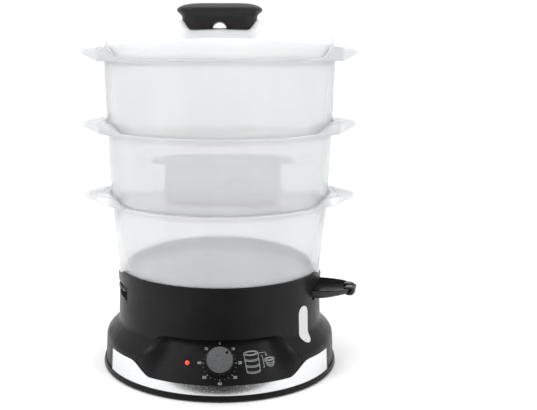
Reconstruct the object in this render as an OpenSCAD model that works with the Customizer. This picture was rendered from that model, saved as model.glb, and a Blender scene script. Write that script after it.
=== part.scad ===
// Electric food steamer: a base with a water tank, a heater and a dial timer, and three stacked bowls.
// Millimetres, +Z up, front towards -Y. The origin is on the stack's axis, at the surface it stands on.
// An azimuth is counted from the front, and is positive towards +X.

/* [Base housing] */
// Radius of the housing at the bottom of its skirt
skirt_r = 132.9; // [129:0.5:137]
// How far the skirt draws in on its way up to the shoulder
skirt_draft = 1.3; // [0.6:0.1:2]
// Height where the shoulder starts to curve in
shoulder_z = 33; // [30:0.5:36]
// Radius of the housing just above the shoulder
waist_r = 117; // [115:0.5:119]
// Radius of the housing's narrowest ring
neck_r = 115.6; // [114:0.2:117]
// Height of the narrowest ring
neck_z = 93; // [90:1:97]
// Radius of the housing's rim
rim_r = 116.3; // [116:0.1:118]
// Height of the housing's rim
rim_z = 116; // [113:0.5:120]
// Wall thickness of the housing
housing_wall = 2.4; // [1.8:0.1:3]
// Radius of the convex arc of the shoulder
shoulder_convex = 13; // [10:0.5:16]
// Radius of the concave arc of the shoulder
shoulder_concave = 8; // [6:0.5:11]
// Height of the lowest point of the rim at the sides
rim_dip_z = 105; // [104.8:0.2:110]
// Radius of the dip in the rim at each side
rim_dip_r = 111; // [90:1:140]
// Azimuth where each side panel starts
side_az = 65; // [62:0.5:68]
// How deep the side panels sit below the housing's surface
side_recess = 0.9; // [0.4:0.1:1.3]
// Height of the top edge of the side panels
side_top = 100.4; // [100:0.1:100.7]
// Width of the seam round a side panel
seam = 0.15; // [0.1:0.05:0.3]

/* [Foot] */
// How far the foot ring stands out past the skirt
foot_proud = 1.8; // [1:0.1:3]
// Height of the top of the foot ring
foot_z = 7; // [6:0.5:9]
// Thickness of the bottom cover
cover_t = 2.4; // [1.8:0.1:3]
// Height of the bottom cover's underside
cover_z = 3.2; // [2.6:0.1:3.6]
// Radius of a rubber foot
pad_r = 9; // [6:0.5:12]
// Distance of the rubber feet from the axis
pad_ring = 108; // [90:1:112]
// Distance of the cover screws from the axis
cover_screw_ring = 121.5; // [120:0.5:121.5]

/* [Metal band] */
// Height of the lower edge of the band
band_z0 = 7.3; // [7.1:0.1:9]
// Height of the band's upper edge across the front
band_front_z = 17.9; // [15:0.1:20]
// Height of the band's upper edge at its ends
band_side_z = 31.5; // [28:0.5:33]
// Azimuth of the band's ends
band_az = 63.5; // [58:0.5:64]
// Thickness of the band
band_t = 1.2; // [0.8:0.1:1.5]
// Half width of the low stretch of the band's upper edge
band_low_x = 73; // [70:0.5:76]
// Half width where the band's upper edge reaches its full height
band_high_x = 95.5; // [93:0.5:99]

/* [Control panel] */
// Radius of the panel's lower edge
panel_low_r = 132.2; // [131:0.2:132.2]
// Radius of the panel's upper edge
panel_high_r = 105.2; // [104:0.2:107]
// Height of the panel's upper edge
panel_high_z = 61; // [58:0.5:62]
// Thickness of the panel
panel_t = 2.2; // [1.6:0.1:2.4]
// Azimuth where the panel's face ends
face_az = 27.5; // [25:0.5:30]
// Height of the dial's centre
dial_z = 37.4; // [36:0.2:40]

/* [Timer] */
// Radius of the knob's base
knob_r = 14.8; // [13:0.1:16]
// Radius of the knob's face
knob_face_r = 14.25; // [12.5:0.05:15]
// How far the knob's face stands off the panel
knob_h = 20.2; // [18:0.2:22]
// Gap between the knob and the panel
knob_gap = 1; // [0.6:0.1:1.6]
// Radius of the timer's shaft
shaft_r = 3; // [2.5:0.1:3.5]
// Width of the timer's case
timer_w = 36; // [35.6:0.1:36.6]
// Depth of the timer's case
timer_d = 21; // [19:0.5:22]
// Wall of the timer's case
timer_wall = 1.4; // [1:0.1:1.8]
// Radial running clearance of the timer's shafts
run_gap = 0.05; // [0.02:0.01:0.09]
// Tooth module of the timer's two gears
gear_m = 0.8; // [0.72:0.01:0.8]

/* [Water tank and heater] */
// Radius of the tank's wall
tank_r = 103; // [101:0.5:103.5]
// Thickness of the tank's wall
tank_t = 2; // [1.5:0.1:2.5]
// Radius of the tank's floor
tank_floor_r = 86; // [80:1:88]
// Height of the underside of the tank's floor
tank_z = 44; // [43:0.5:46]
// Height where the tank's wall becomes upright
tank_knee_z = 64; // [63.5:0.5:68]
// Height of the top of the tank's rim, which carries the juice tray
ledge_z = 103.6; // [103:0.2:104]
// Radius of the opening for the heater in the tank's floor
heater_hole_r = 37.5; // [34:0.5:40]
// How far the heating plate reaches past that opening
plate_lap = 3.5; // [2.5:0.1:5]
// Thickness of the heating plate
plate_t = 1.2; // [0.8:0.1:2]
// Radius of the tubular element's ring
element_ring = 26; // [22:0.5:27]
// Radius of the element's tube
element_r = 3.3; // [2.8:0.1:3.6]
// Radius of the turbo ring
turbo_r = 50; // [46:0.5:51]
// Height of the turbo ring
turbo_h = 36; // [25:1:37]

/* [Water filling] */
// Azimuth of the water fillers
filler_az = 75.3; // [74:0.1:77]
// Half width of a filler where it leaves the housing
filler_half = 27.5; // [24:0.5:28]
// Height of the underside of a filler
filler_z = 86; // [85.6:0.2:87]
// Height of a filler's walls
filler_h = 11; // [9:0.5:11.4]
// How far a filler slides
filler_travel = 41; // [36:0.5:42]
// Length of a filler
filler_len = 57; // [54:0.5:58]
// Wall of a filler
filler_wall = 1.8; // [1.4:0.1:2.4]
// Clearance round a filler in its chute
filler_gap = 0.5; // [0.35:0.05:0.8]
// Azimuth of the water level window
window_az = 50.75; // [49:0.25:52]
// Width of the water level window
window_w = 16.5; // [12:0.5:18]
// Height of the window's lower end
window_z0 = 45.5; // [45:0.5:48]
// Height of the window's upper end
window_z1 = 84.5; // [80:0.5:86]

/* [Bowls] */
// Wall of a bowl
bowl_t = 2; // [1.5:0.1:2.4]
// Radius of the lowest bowl at its bottom edge
bowl_foot_r = 114.2; // [113.6:0.1:114.3]
// Radius of the bowls at each seat, from the lowest bowl's rim to the lid
seat_r = [121.2, 124.0, 126.7];
// Height of the rims, from the lowest bowl's to the highest's
rims_z = [192, 269.5, 347];
// Depth of the skirt that a bowl or the lid lowers into the bowl below
skirt_d = 7; // [5:0.5:8]
// Radial clearance of that skirt
skirt_gap = 0.4; // [0.3:0.05:0.8]
// How far a rim stands out past the wall
rim_out = 4.6; // [3.5:0.1:6]
// Thickness of a rim
rim_t = 3; // [2:0.1:4]
// Distance of a grip's tip from the axis
grip_x = 152; // [146:1:156]
// Radius of a grip's tip
grip_tip_r = 22; // [16:0.5:25]
// Thickness of a grip at its tip
grip_h = 5; // [4:0.5:6]
// How far a grip's top slopes down on its way to the tip
grip_slope = 2; // [1:0.5:3]
// Height of each bowl's grips above its rim, at the root
grip_rise = [7, 10, 11.5];
// Half width of a steam slot
slot_r = 2; // [1.4:0.1:2.5]
// Length of a steam slot
slot_len = 13; // [9:0.5:15]

/* [Juice tray] */
// Thickness of the juice tray
tray_t = 1.5; // [1.2:0.1:2]
// Radius of the tray's deep dish
dish_r = 53; // [50:0.5:54.5]
// Height of the dish's underside
dish_z = 88; // [87:0.5:92]
// Radius of the tray's steam chimney
chimney_r = 26; // [18:0.5:30]

/* [Rice bowl] */
// Width of the rice bowl
rice_w = 130; // [110:1:140]
// Depth of the rice bowl from front to back
rice_d = 90; // [75:1:100]
// Height of the rice bowl
rice_h = 46; // [35:0.5:50]
// Radius of the rice bowl's corners
rice_corner = 36; // [25:0.5:40]
// Reach of the rice bowl's flange at its two ends
rice_lug = 14; // [8:0.5:16]
// Wall of the rice bowl
rice_t = 1.8; // [1.4:0.1:2.4]

/* [Lid] */
// Height of the lid above its seat
lid_h = 39.6; // [36:0.2:42]
// Radius of the lid's shoulder arc
lid_shoulder = 18; // [15:0.5:20]
// Angle that the shoulder arc turns through
lid_turn = 62; // [58:1:66]
// Thickness of the lid
lid_t = 2; // [1.5:0.1:2.5]
// Radius of the hollow facet at the front and the back of the lid
facet_r = 370; // [300:10:450]
// Tilt of those facets
facet_tilt = 7.7; // [5:0.1:9]
// How far the two facets' ridge lies below the top of the lid
facet_drop = 7.2; // [5:0.1:9]
// Height of the lid's handle above the top of the lid
handle_h = 18.4; // [16:0.2:22]
// Width of the handle
handle_w = 93; // [84:0.5:100]
// Width of the handle's neck
neck_w = 82; // [70:0.5:84]
// Depth of the handle from front to back
handle_d = 50; // [40:0.5:54]
// Depth of the handle's neck
neck_d = 42; // [36:0.5:46]
// Radius of the steam arch through the handle's neck
arch_r = 7.6; // [6:0.1:8.5]

/* [Rear] */
// Height of the cord inlet
gland_z = 21; // [20:0.5:24]
// Radius of the cord inlet's bore
gland_bore = 3.7; // [3:0.1:4.5]
// Distance of the inlet's end from the axis
gland_y = 143.8; // [141:0.2:146]

/* [Hidden] */

fine = 180;      // facets asked of the large turned parts
small = 48;      // facets asked of the small round parts
face_gap = 0.05; // between two pieces of the base that lie against each other
eps = 0.5;       // overshoot of a cutting shape
black = "#2b2b2c";
dark = "#1d1d1e";
clear_plastic = "#e6ebee";
steel = "#c9ccd0";

// ---------- shared shapes ----------

// Points on an arc from angle a0 to angle a1
function arc(c, r, a0, a1, n = 6) = [for (i = [0:n]) let (a = a0 + (a1 - a0) * i / n)
    [c[0] + r * cos(a), c[1] + r * sin(a)]];

function reverse(v) = [for (i = [len(v) - 1:-1:0]) v[i]];

// The ring section between a radius table's outer line and a line inside it
function skin(line, out, inner) = concat([for (p = line) [p[0] - out, p[1]]],
    reverse([for (p = line) [p[0] - inner, p[1]]]));

// Turned ring sector between two azimuths
module sector(az0, az1) {
    rotate([0, 0, az0 - 90]) rotate_extrude(angle = az1 - az0, $fn = fine) children();
}

// Turns its children so that their +X side faces the given azimuth
module facing(az) {
    rotate([0, 0, az - 90]) children();
}

module rounded_rect(w, d, r) {
    square([w - 2 * r, d], center = true);
    square([w, d - 2 * r], center = true);
    for (x = [-1, 1], y = [-1, 1])
        translate([x * (w / 2 - r), y * (d / 2 - r)]) circle(r, $fn = small);
}

module pill(w, z0, z1) {
    translate([-w / 2, z0 + w / 2]) square([w, z1 - z0 - w]);
    for (z = [z0 + w / 2, z1 - w / 2]) translate([0, z]) circle(w / 2, $fn = small);
}

module tube(r_out, r_in, h) {
    difference() {
        cylinder(h = h, r = r_out, $fn = small);
        translate([0, 0, -eps]) cylinder(h = h + 2 * eps, r = r_in, $fn = small);
    }
}

// ---------- the housing's outline ----------

shoulder_r = skirt_r - skirt_draft;
slope = 45; // of the shoulder
slope_len = (shoulder_r - waist_r - (shoulder_convex + shoulder_concave) * (1 - cos(slope))) / sin(slope);
waist_z = shoulder_z + (shoulder_convex + shoulder_concave) * sin(slope) + slope_len * cos(slope);
outline = concat([[skirt_r, foot_z]],
    arc([shoulder_r - shoulder_convex, shoulder_z], shoulder_convex, 0, slope),
    arc([waist_r + shoulder_concave, waist_z], shoulder_concave, 180 + slope, 180),
    [[neck_r, neck_z]]);
outline_table = [for (p = concat(outline, [[rim_r, rim_z]])) [p[1], p[0]]];
function housing_r(z) = lookup(z, outline_table);

nest_r = bowl_foot_r + 0.5;      // inner radius of the rim that the lowest bowl stands in
tray_seat = ledge_z;             // the juice tray's flange lies on the tank's rim
bowl_z = ledge_z + tray_t;       // the lowest bowl stands on the tray's flange
tank_rim_r = neck_r - housing_wall - 0.2;
tank_ledge_r = tank_rim_r - 2.5; // the tank's rim rests on the housing's ledge

module housing_section() {
    polygon(concat(outline, [[rim_r, rim_z], [nest_r, rim_z], [nest_r, ledge_z],
        [tank_rim_r + 0.2, ledge_z], [tank_rim_r + 0.2, ledge_z - tank_t],
        [tank_ledge_r, ledge_z - tank_t], [tank_ledge_r, ledge_z - tank_t - 2],
        [neck_r - housing_wall, ledge_z - tank_t - 4]], reverse([for (p = outline)
        if (p[1] < ledge_z - tank_t - 4) [p[0] - housing_wall, p[1]]])));
}

// ---------- cutting shapes of the housing ----------

function ease(t) = let (s = min(1, max(0, t))) s * s * (3 - 2 * s);
function band_edge(x) = band_front_z + (band_side_z - band_front_z)
    * ease((abs(x) - band_low_x) / (band_high_x - band_low_x));

// Front view of all that lies above the band's upper edge
module above_band(x_end) {
    steps = 14;
    side = [for (i = [0:steps]) let (x = band_low_x + (band_high_x - band_low_x) * i / steps)
        [x, band_edge(x)]];
    polygon(concat([[0, band_front_z]], side, [[x_end, band_side_z], [x_end, 60], [0, 60]]));
}

module band_body(grow) {
    difference() {
        sector(-band_az - grow / 2, band_az + grow / 2)
            polygon([[skirt_r - band_t - grow, band_z0 - grow], [skirt_r + eps, band_z0 - grow],
                [skirt_r + eps, band_side_z + grow], [shoulder_r - band_t - grow, band_side_z + grow]]);
        for (m = [0, 1]) mirror([m, 0, 0]) translate([0, -60, grow]) rotate([90, 0, 0])
            linear_extrude(height = 100) above_band(140);
    }
}

panel_low_z = band_front_z + 2 * face_gap;

// The pocket's outline in the front view, as [height, half width]; its lower part follows the band.
// The pocket itself reaches a little way behind the band.
function pocket_side(shrink, lower = 0) = concat(
    [for (i = [0:8]) let (x = band_low_x + (88 - band_low_x) * i / 8)
        [band_edge(x) + 2 * shrink - lower, x - shrink]],
    [for (p = [[33, 88], [36, 86.5], [41, 81.5], [46, 76], [53, 69.5], [58, 64.5],
        [panel_high_z - 0.4, 58], [panel_high_z, 52]]) [p[0] - shrink, p[1] - shrink]]);
panel_side = pocket_side(face_gap);
function panel_half(z) = lookup(z, panel_side);
function face_r(z) = panel_low_r + (panel_high_r - panel_low_r) * (z - panel_low_z)
    / (panel_high_z - panel_low_z);

module pocket_prism() {
    right = [for (p = pocket_side(0, 0.5)) [p[1], p[0]]];
    translate([0, -60, 0]) rotate([90, 0, 0]) linear_extrude(height = 100)
        polygon(concat(right, reverse([for (p = right) [-p[0], p[1]]])));
}

module window_prism(shrink, r0, r1) {
    facing(window_az) translate([r0, 0, 0]) rotate([90, 0, 90])
        linear_extrude(height = r1 - r0) pill(window_w - 2 * shrink, window_z0 + shrink, window_z1 - shrink);
}

module filler_prism(grow, r0, r1, top) {
    for (s = [-1, 1]) facing(s * filler_az)
        translate([r0, -filler_half - grow, filler_z - grow])
            cube([r1 - r0, 2 * (filler_half + grow), top - filler_z + grow]);
}

// ---------- base: housing ----------

boss_az = [-56, 56, -126, 126];
boss_r = 4.4;
boss_bore = 1.8;
boss_top = 24;
boss_foot = cover_z + cover_t + face_gap;

module cover_bosses() {
    for (a = boss_az) facing(a) difference() {
        union() {
            translate([cover_screw_ring, 0, boss_foot])
                cylinder(h = boss_top - boss_foot, r = boss_r, $fn = small);
            translate([cover_screw_ring, -1, foot_z + 1])
                cube([skirt_r - housing_wall + 0.6 - cover_screw_ring, 2, boss_top - foot_z - 2]);
        }
        translate([cover_screw_ring, 0, boss_foot - eps])
            cylinder(h = boss_top - boss_foot - 2, r = boss_bore, $fn = small);
    }
}

module base_shell() {
    color(black) {
        difference() {
            rotate_extrude($fn = fine) housing_section();
            for (s = [-1, 1]) sector(s * 90 - (90 - side_az), s * 90 + (90 - side_az))
                translate([90, foot_z - eps]) square([60, side_top - foot_z + eps]);
            pocket_prism();
            band_body(face_gap);
            window_prism(0, 90, 150);
            filler_prism(filler_gap + 0.4, 95, 150, side_top - 0.3);
            for (s = [0, 180]) rotate([0, 0, s]) translate([80, 0, rim_dip_z + rim_dip_r])
                rotate([0, 90, 0]) cylinder(h = 60, r = rim_dip_r, $fn = fine);
            translate([0, 100, gland_z]) rotate([-90, 0, 0]) cylinder(h = 60, r = gland_seat_r, $fn = small);
        }
        cover_bosses();
    }
}

module side_panel(s) {
    half = 90 - side_az;
    line = [for (p = concat(outline, [[housing_r(side_top), side_top - seam]]))
        if (p[1] < side_top) p];
    color(dark) difference() {
        sector(s * 90 - half + seam / 2, s * 90 + half - seam / 2)
            polygon(skin(line, side_recess, side_recess + housing_wall));
        filler_prism(filler_gap, 95, 150, side_top + eps);
    }
}

module side_panel_left() { side_panel(-1); }
module side_panel_right() { side_panel(1); }

module chrome_band() {
    color(steel) intersection() {
        band_body(0);
        rotate_extrude($fn = fine)
            polygon([[60, foot_z], [skirt_r, foot_z], [shoulder_r, shoulder_z], [60, shoulder_z]]);
    }
}

foot_r = skirt_r + foot_proud;

module bottom_cover() {
    color(dark) difference() {
        rotate_extrude($fn = fine) polygon([[0, cover_z], [foot_r - 10, cover_z], [foot_r - 8, 1.2],
            [foot_r - 0.6, 1.2], [foot_r, 2.2], [foot_r - 1, foot_z - face_gap],
            [skirt_r - housing_wall - 0.7, foot_z - face_gap],
            [skirt_r - housing_wall - 0.7, cover_z + cover_t], [0, cover_z + cover_t]]);
        for (a = boss_az) facing(a) translate([cover_screw_ring, 0, 0])
            cylinder(h = foot_z + eps, r = 2.2, $fn = small);
        for (a = [0:30:330]) rotate([0, 0, a]) translate([60, 0, 0]) rounded_slot(18, 2, foot_z);
    }
}

module rounded_slot(len, r, h) {
    translate([-len / 2, -r, 0]) cube([len, 2 * r, h]);
    for (x = [-len / 2, len / 2]) translate([x, 0, 0]) cylinder(h = h, r = r, $fn = 24);
}

module rubber_feet() {
    color("#141414") for (a = [45:90:315]) rotate([0, 0, a]) translate([pad_ring, 0, 0])
        rotate_extrude($fn = small) polygon([[0, 0], [pad_r - 0.8, 0], [pad_r, 0.8], [pad_r, cover_z], [0, cover_z]]);
}

module screw(head_r, head_h, shank_r, shank_l) {
    difference() {
        union() {
            cylinder(h = head_h, r = head_r, $fn = 32);
            cylinder(h = head_h + shank_l, r = shank_r, $fn = 32);
        }
        for (a = [0, 90]) rotate([0, 0, a]) translate([-head_r * 0.6, -0.4, -eps])
            cube([head_r * 1.2, 0.8, eps + head_h * 0.6]);
    }
}

module cover_screws() {
    head_h = 1.6;
    color(steel) for (a = boss_az) facing(a) translate([cover_screw_ring, 0, cover_z - head_h - face_gap])
        screw(3.1, head_h, boss_bore - face_gap, 14);
}

// ---------- base: control panel ----------

// Radius of the panel's surface at a height and a front-view offset x
function blend_r(z, x) = let (xf = face_r(z) * sin(face_az), xo = panel_half(z))
    face_r(z) + (housing_r(z) - face_r(z)) * ease((abs(x) - xf) / (xo - xf));
function surface_y(r, x) = -sqrt(r * r - x * x);

// A row of points across the panel, from left to right
panel_steps = 16;
function panel_row(z, depth) = [for (i = [-panel_steps:panel_steps])
    let (x = panel_half(z) * i / panel_steps) [x, surface_y(blend_r(z, x) - depth, x), z]];
function top_row(r) = [for (i = [-panel_steps:panel_steps])
    let (x = panel_half(panel_high_z) * i / panel_steps) [x, surface_y(r, x), panel_high_z - face_gap]];

module panel_skin() {
    n = 2 * panel_steps + 1;
    ceiling_t = 1.2;
    heights = [for (i = [0:9]) panel_low_z + (panel_high_z - ceiling_t - panel_low_z) * i / 9];
    front = concat([for (z = heights) panel_row(z, 0)], [top_row(housing_r(panel_high_z) - 0.3)]);
    back = concat([for (z = heights) panel_row(z, panel_t)], [top_row(panel_high_r - panel_t)]);
    rows = len(front);
    pts = [for (r = concat(front, back)) for (p = r) p];
    function id(k, r, i) = (k * rows + r) * n + i;
    quads = concat(
        [for (r = [0:rows - 2], i = [0:n - 2])
            [id(0, r, i), id(0, r + 1, i), id(0, r + 1, i + 1), id(0, r, i + 1)]],
        [for (r = [0:rows - 2], i = [0:n - 2])
            [id(1, r, i), id(1, r, i + 1), id(1, r + 1, i + 1), id(1, r + 1, i)]],
        [for (i = [0:n - 2]) [id(0, 0, i), id(0, 0, i + 1), id(1, 0, i + 1), id(1, 0, i)]],
        [for (i = [0:n - 2])
            [id(0, rows - 1, i), id(1, rows - 1, i), id(1, rows - 1, i + 1), id(0, rows - 1, i + 1)]],
        [for (r = [0:rows - 2]) [id(0, r, 0), id(1, r, 0), id(1, r + 1, 0), id(0, r + 1, 0)]],
        [for (r = [0:rows - 2])
            [id(0, r, n - 1), id(0, r + 1, n - 1), id(1, r + 1, n - 1), id(1, r, n - 1)]]);
    triangles = [for (q = quads) for (t = [[q[0], q[1], q[2]], [q[0], q[2], q[3]]]) t];
    polyhedron(points = pts, faces = triangles);
}

face_tilt = atan((panel_low_r - panel_high_r) / (panel_high_z - panel_low_z));
dial_r = face_r(dial_z);

// Local frame on the panel's face: +Z outwards, +Y up the face
module on_face(az, z) {
    rotate([0, 0, az]) translate([0, -face_r(z), z]) rotate([90 - face_tilt, 0, 0]) children();
}

module control_panel() {
    color(dark) difference() {
        panel_skin();
        on_face(0, dial_z) translate([0, 0, -10]) cylinder(h = 20, r = timer_neck_r + 0.25, $fn = small);
        on_face(pilot_az, pilot_z) translate([0, 0, -10])
            cylinder(h = 20, r = lens_r + face_gap, $fn = small);
    }
}

pilot_az = -16.2;
pilot_z = 36.6;
lens_r = 2.3;

module pilot_lens() {
    color("#ff4a1c") on_face(pilot_az, pilot_z) rotate_extrude($fn = small)
        polygon(concat([[0, -5.5], [lens_r + 1, -5.5], [lens_r + 1, -panel_t - 0.35],
            [lens_r, -panel_t - 0.35], [lens_r, 0.2]],
            [for (a = [15:15:90]) [lens_r * cos(a), 0.2 + sin(a)]]));
}

module pilot_lamp() {
    color("#ffb38a") on_face(pilot_az, pilot_z) translate([0, 0, -17]) {
        cylinder(h = 11.3, r = 2, $fn = 32);
        for (x = [-1, 1]) translate([x, 0, -4]) cylinder(h = 4, r = 0.4, $fn = 24);
    }
}

// ---------- base: timer ----------

timer_neck_r = 5.2;
timer_top = -panel_t - 1.8;          // local height of the case's front
timer_floor = timer_top - timer_d;   // local height of the case's rear cover
neck_end = 2.2;                      // local height of the end of the case's neck
wheel_z = timer_floor + 8;
wheel_teeth = 24;
pinion_teeth = 12;
gear_t = 3;
wheel_pitch = wheel_teeth * gear_m / 2;
pinion_pitch = pinion_teeth * gear_m / 2;
mesh_play = 0.25;
centre_x = -(wheel_pitch + pinion_pitch + mesh_play) * cos(45);
centre_y = -(wheel_pitch + pinion_pitch + mesh_play) * sin(45);
pinion_shaft_r = 1.5;

module timer_case() {
    color("#d8d4c8") on_face(0, dial_z) difference() {
        union() {
            translate([0, 0, timer_floor + timer_wall]) linear_extrude(height = timer_d - timer_wall)
                rounded_rect(timer_w, timer_w, 3);
            translate([0, 0, timer_top - eps])
                cylinder(h = neck_end - timer_top + eps, r = timer_neck_r, $fn = small);
        }
        translate([0, 0, timer_floor]) linear_extrude(height = timer_d - timer_wall)
            rounded_rect(timer_w - 2 * timer_wall, timer_w - 2 * timer_wall, 2);
        translate([0, 0, timer_floor]) cylinder(h = 60, r = shaft_r + run_gap, $fn = small);
        translate([centre_x, centre_y, timer_top - timer_wall - eps])
            cylinder(h = 0.9 + eps, r = pinion_shaft_r + run_gap, $fn = small);
    }
}

module timer_cover() {
    color("#b9b4a6") on_face(0, dial_z) difference() {
        translate([0, 0, timer_floor]) linear_extrude(height = timer_wall - face_gap)
            rounded_rect(timer_w, timer_w, 3);
        translate([0, 0, timer_floor - eps]) cylinder(h = 9, r = shaft_r - 1 + run_gap, $fn = small);
        translate([centre_x, centre_y, timer_floor + 0.5])
            cylinder(h = 9, r = pinion_shaft_r + run_gap, $fn = small);
    }
}

module timer_nut() {
    color(steel) on_face(0, dial_z) translate([0, 0, 0.1])
        difference() {
            cylinder(h = 1.4, r = 8, $fn = 6);
            translate([0, 0, -eps]) cylinder(h = 3, r = timer_neck_r + face_gap, $fn = small);
        }
}

// Bell cup on the back of the timer's cover
module timer_bell() {
    bell_r = 13;
    bell_h = 4.4;
    color(steel) on_face(0, dial_z) translate([0, 0, timer_floor - bell_h - face_gap]) difference() {
        union() {
            rotate_extrude($fn = small) polygon([
                [2.9, 0], [bell_r - 1.5, 0], [bell_r, 1.5], [bell_r, bell_h - 0.8],
                [bell_r - 1, bell_h - 0.8], [bell_r - 1, 1.7], [bell_r - 1.8, 1], [2.9, 1]]);
            translate([0, 0, 0]) tube(4.2, 2.9, bell_h);
        }
    }
}

module timer_shaft() {
    color(steel) on_face(0, dial_z) {
        translate([0, 0, timer_floor - 1]) cylinder(h = 1.9 + timer_wall, r = shaft_r - 1, $fn = small);
        translate([0, 0, timer_floor + timer_wall + 0.3])
            cylinder(h = knob_h - 3.6 - timer_floor - timer_wall, r = shaft_r, $fn = small);
    }
}

// Straight-sided gear wheel, with play at its flanks
module gear(teeth, pitch_r, bore, h) {
    step = 360 / teeth;
    tip = pitch_r + 0.8 * gear_m;
    root = pitch_r - 1.15 * gear_m;
    flank = [[root, -0.27], [pitch_r, -0.19], [tip, -0.1], [tip, 0.1], [pitch_r, 0.19], [root, 0.27]];
    difference() {
        linear_extrude(height = h) polygon([for (i = [0:teeth - 1], p = flank)
            [p[0] * cos((i + p[1]) * step), p[0] * sin((i + p[1]) * step)]]);
        translate([0, 0, -eps]) cylinder(h = h + 2 * eps, r = bore, $fn = small);
    }
}

// The wheel's tooth points at the pinion's axis, and the pinion's gap faces it
mesh_dir = 225;

module drive_wheel() {
    color("#d9b25c") on_face(0, dial_z) translate([0, 0, wheel_z]) rotate([0, 0, mesh_dir])
        gear(wheel_teeth, wheel_pitch, shaft_r, gear_t);
}

module timer_pinion() {
    half_tooth = 180 / pinion_teeth;
    color("#d9b25c") on_face(0, dial_z) translate([centre_x, centre_y, 0]) {
        translate([0, 0, wheel_z - 0.2]) rotate([0, 0, mesh_dir + 180 + half_tooth])
            gear(pinion_teeth, pinion_pitch, pinion_shaft_r - 0.5, gear_t + 0.4);
        translate([0, 0, timer_floor + 0.6])
            cylinder(h = timer_top - timer_floor - timer_wall, r = pinion_shaft_r, $fn = small);
        translate([0, 0, wheel_z + gear_t + 1.2]) cylinder(h = 2, r = 3.6, $fn = small);
    }
}

cap_t = 1.3;
hub_r = 5.4;

module knob_skirt() {
    lip = knob_face_r + 0.25;
    color("#161617") on_face(0, dial_z) difference() {
        rotate_extrude($fn = 96) polygon([[shaft_r, 3.6], [hub_r, 3.6], [hub_r, knob_h - 4.4],
            [knob_r - 2.2, knob_h - 4.4], [knob_r - 1.8, knob_gap], [knob_r, knob_gap],
            [lip, knob_h - 0.5], [lip - 0.5, knob_h], [lip - 0.9, knob_h], [lip - 0.9, knob_h - cap_t - 0.3],
            [0, knob_h - cap_t - 0.3], [0, knob_h - 3.2], [shaft_r, knob_h - 3.2]]);
        translate([-1, hub_r - 1.6, 3]) cube([2, 1, 5.4]);
    }
}

module knob_cap() {
    color("#d5d7d9") on_face(0, dial_z) difference() {
        translate([0, 0, knob_h - cap_t - 0.25]) rotate_extrude($fn = 96)
            polygon([[0, 0], [knob_face_r - 0.75, 0], [knob_face_r - 0.75, cap_t - 0.1],
                [knob_face_r - 1.05, cap_t + 0.2], [0, cap_t + 0.2]]);
        pointer_place() linear_extrude(height = 4) teardrop(0.08);
    }
}

pointer_ring = 10.2;
pointer_rest = 45;

module pointer_place() {
    rotate([0, 0, -pointer_rest]) translate([0, pointer_ring, knob_h - 0.6]) children();
}

module teardrop(grow) {
    circle(1.25 + grow, $fn = 32);
    polygon([[-1.12 - grow, 0.55], [1.12 + grow, 0.55], [0, 2.6 + grow]]);
}

module knob_pointer() {
    color("#101010") on_face(0, dial_z) pointer_place() linear_extrude(height = 0.75) teardrop(0);
}

// Spring clip in the knob's hub
module knob_clip() {
    color(steel) on_face(0, dial_z) translate([-0.9, hub_r - 1.5, 3.9]) cube([1.8, 0.7, 4.2]);
}

// ---------- base: water tank and heater ----------

module water_tank() {
    t = tank_t;
    color("#3a3b3d") difference() {
        rotate_extrude($fn = fine) polygon([[heater_hole_r, tank_z], [tank_floor_r, tank_z],
            [tank_r, tank_knee_z], [tank_r, ledge_z - t], [tank_rim_r, ledge_z - t], [tank_rim_r, ledge_z],
            [tank_r - t, ledge_z], [tank_r - t, tank_knee_z + 0.5], [tank_floor_r - 0.8, tank_z + t],
            [heater_hole_r, tank_z + t]]);
        filler_prism(filler_gap + chute_wall + face_gap, 60, tank_r + 4, ledge_z - tank_t - 1);
        for (a = clamp_screw_az) rotate([0, 0, a]) translate([clamp_screw_ring, 0, tank_z - eps])
            cylinder(h = 1.3 + eps, r = 1.6 + face_gap, $fn = 32);
        facing(window_az) translate([60, 0, nipple_z]) rotate([0, 90, 0])
            cylinder(h = 60, r = nipple_r + face_gap, $fn = small);
    }
}

chute_wall = 1.4;

// Tray in the housing's side that a filler slides in
module chute(s) {
    wall = chute_wall;
    g = filler_gap;
    r1 = neck_r - side_recess - housing_wall - 0.5;
    color("#333436") facing(s * filler_az) intersection() {
        difference() {
            translate([tank_r - 7, -filler_half - g - wall, filler_z - g - wall])
                cube([r1 - tank_r + 17, 2 * (filler_half + g + wall), filler_h + g + wall - 0.5]);
            translate([60, -filler_half - g, filler_z - g]) cube([80, 2 * (filler_half + g), 30]);
        }
        translate([0, 0, 60]) difference() {
            cylinder(h = 60, r = r1, $fn = fine);
            translate([0, 0, -eps]) cylinder(h = 70, r = tank_r - tank_t - 3, $fn = fine);
        }
    }
}

module chute_left() { chute(-1); }
module chute_right() { chute(1); }

nipple_r = 3;
nipple_z = 52;

// Sight chamber behind the window, fed from the tank through a nipple
module level_duct() {
    wall = 1.5;
    back_r = tank_r + 1.6;
    tank_line_r = tank_floor_r + (tank_r - tank_floor_r) * (nipple_z - tank_z) / (tank_knee_z - tank_z);
    front_r = housing_r(window_z1) - housing_wall - 0.4;
    color("#dfe3e4") difference() {
        union() {
            intersection() {
                window_prism(-2.2, back_r, front_r);
                translate([0, 0, window_z0 - 3]) cylinder(h = 60, r = front_r, $fn = fine);
            }
            facing(window_az) translate([tank_line_r - 3.5, 0, nipple_z]) rotate([0, 90, 0])
                cylinder(h = back_r - tank_line_r + 4, r = nipple_r, $fn = small);
        }
        window_prism(-2.2 + wall, back_r + wall, 150);
        facing(window_az) translate([60, 0, nipple_z]) rotate([0, 90, 0])
            cylinder(h = back_r - 60 + wall + eps, r = nipple_r - 1, $fn = small);
    }
}

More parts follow.
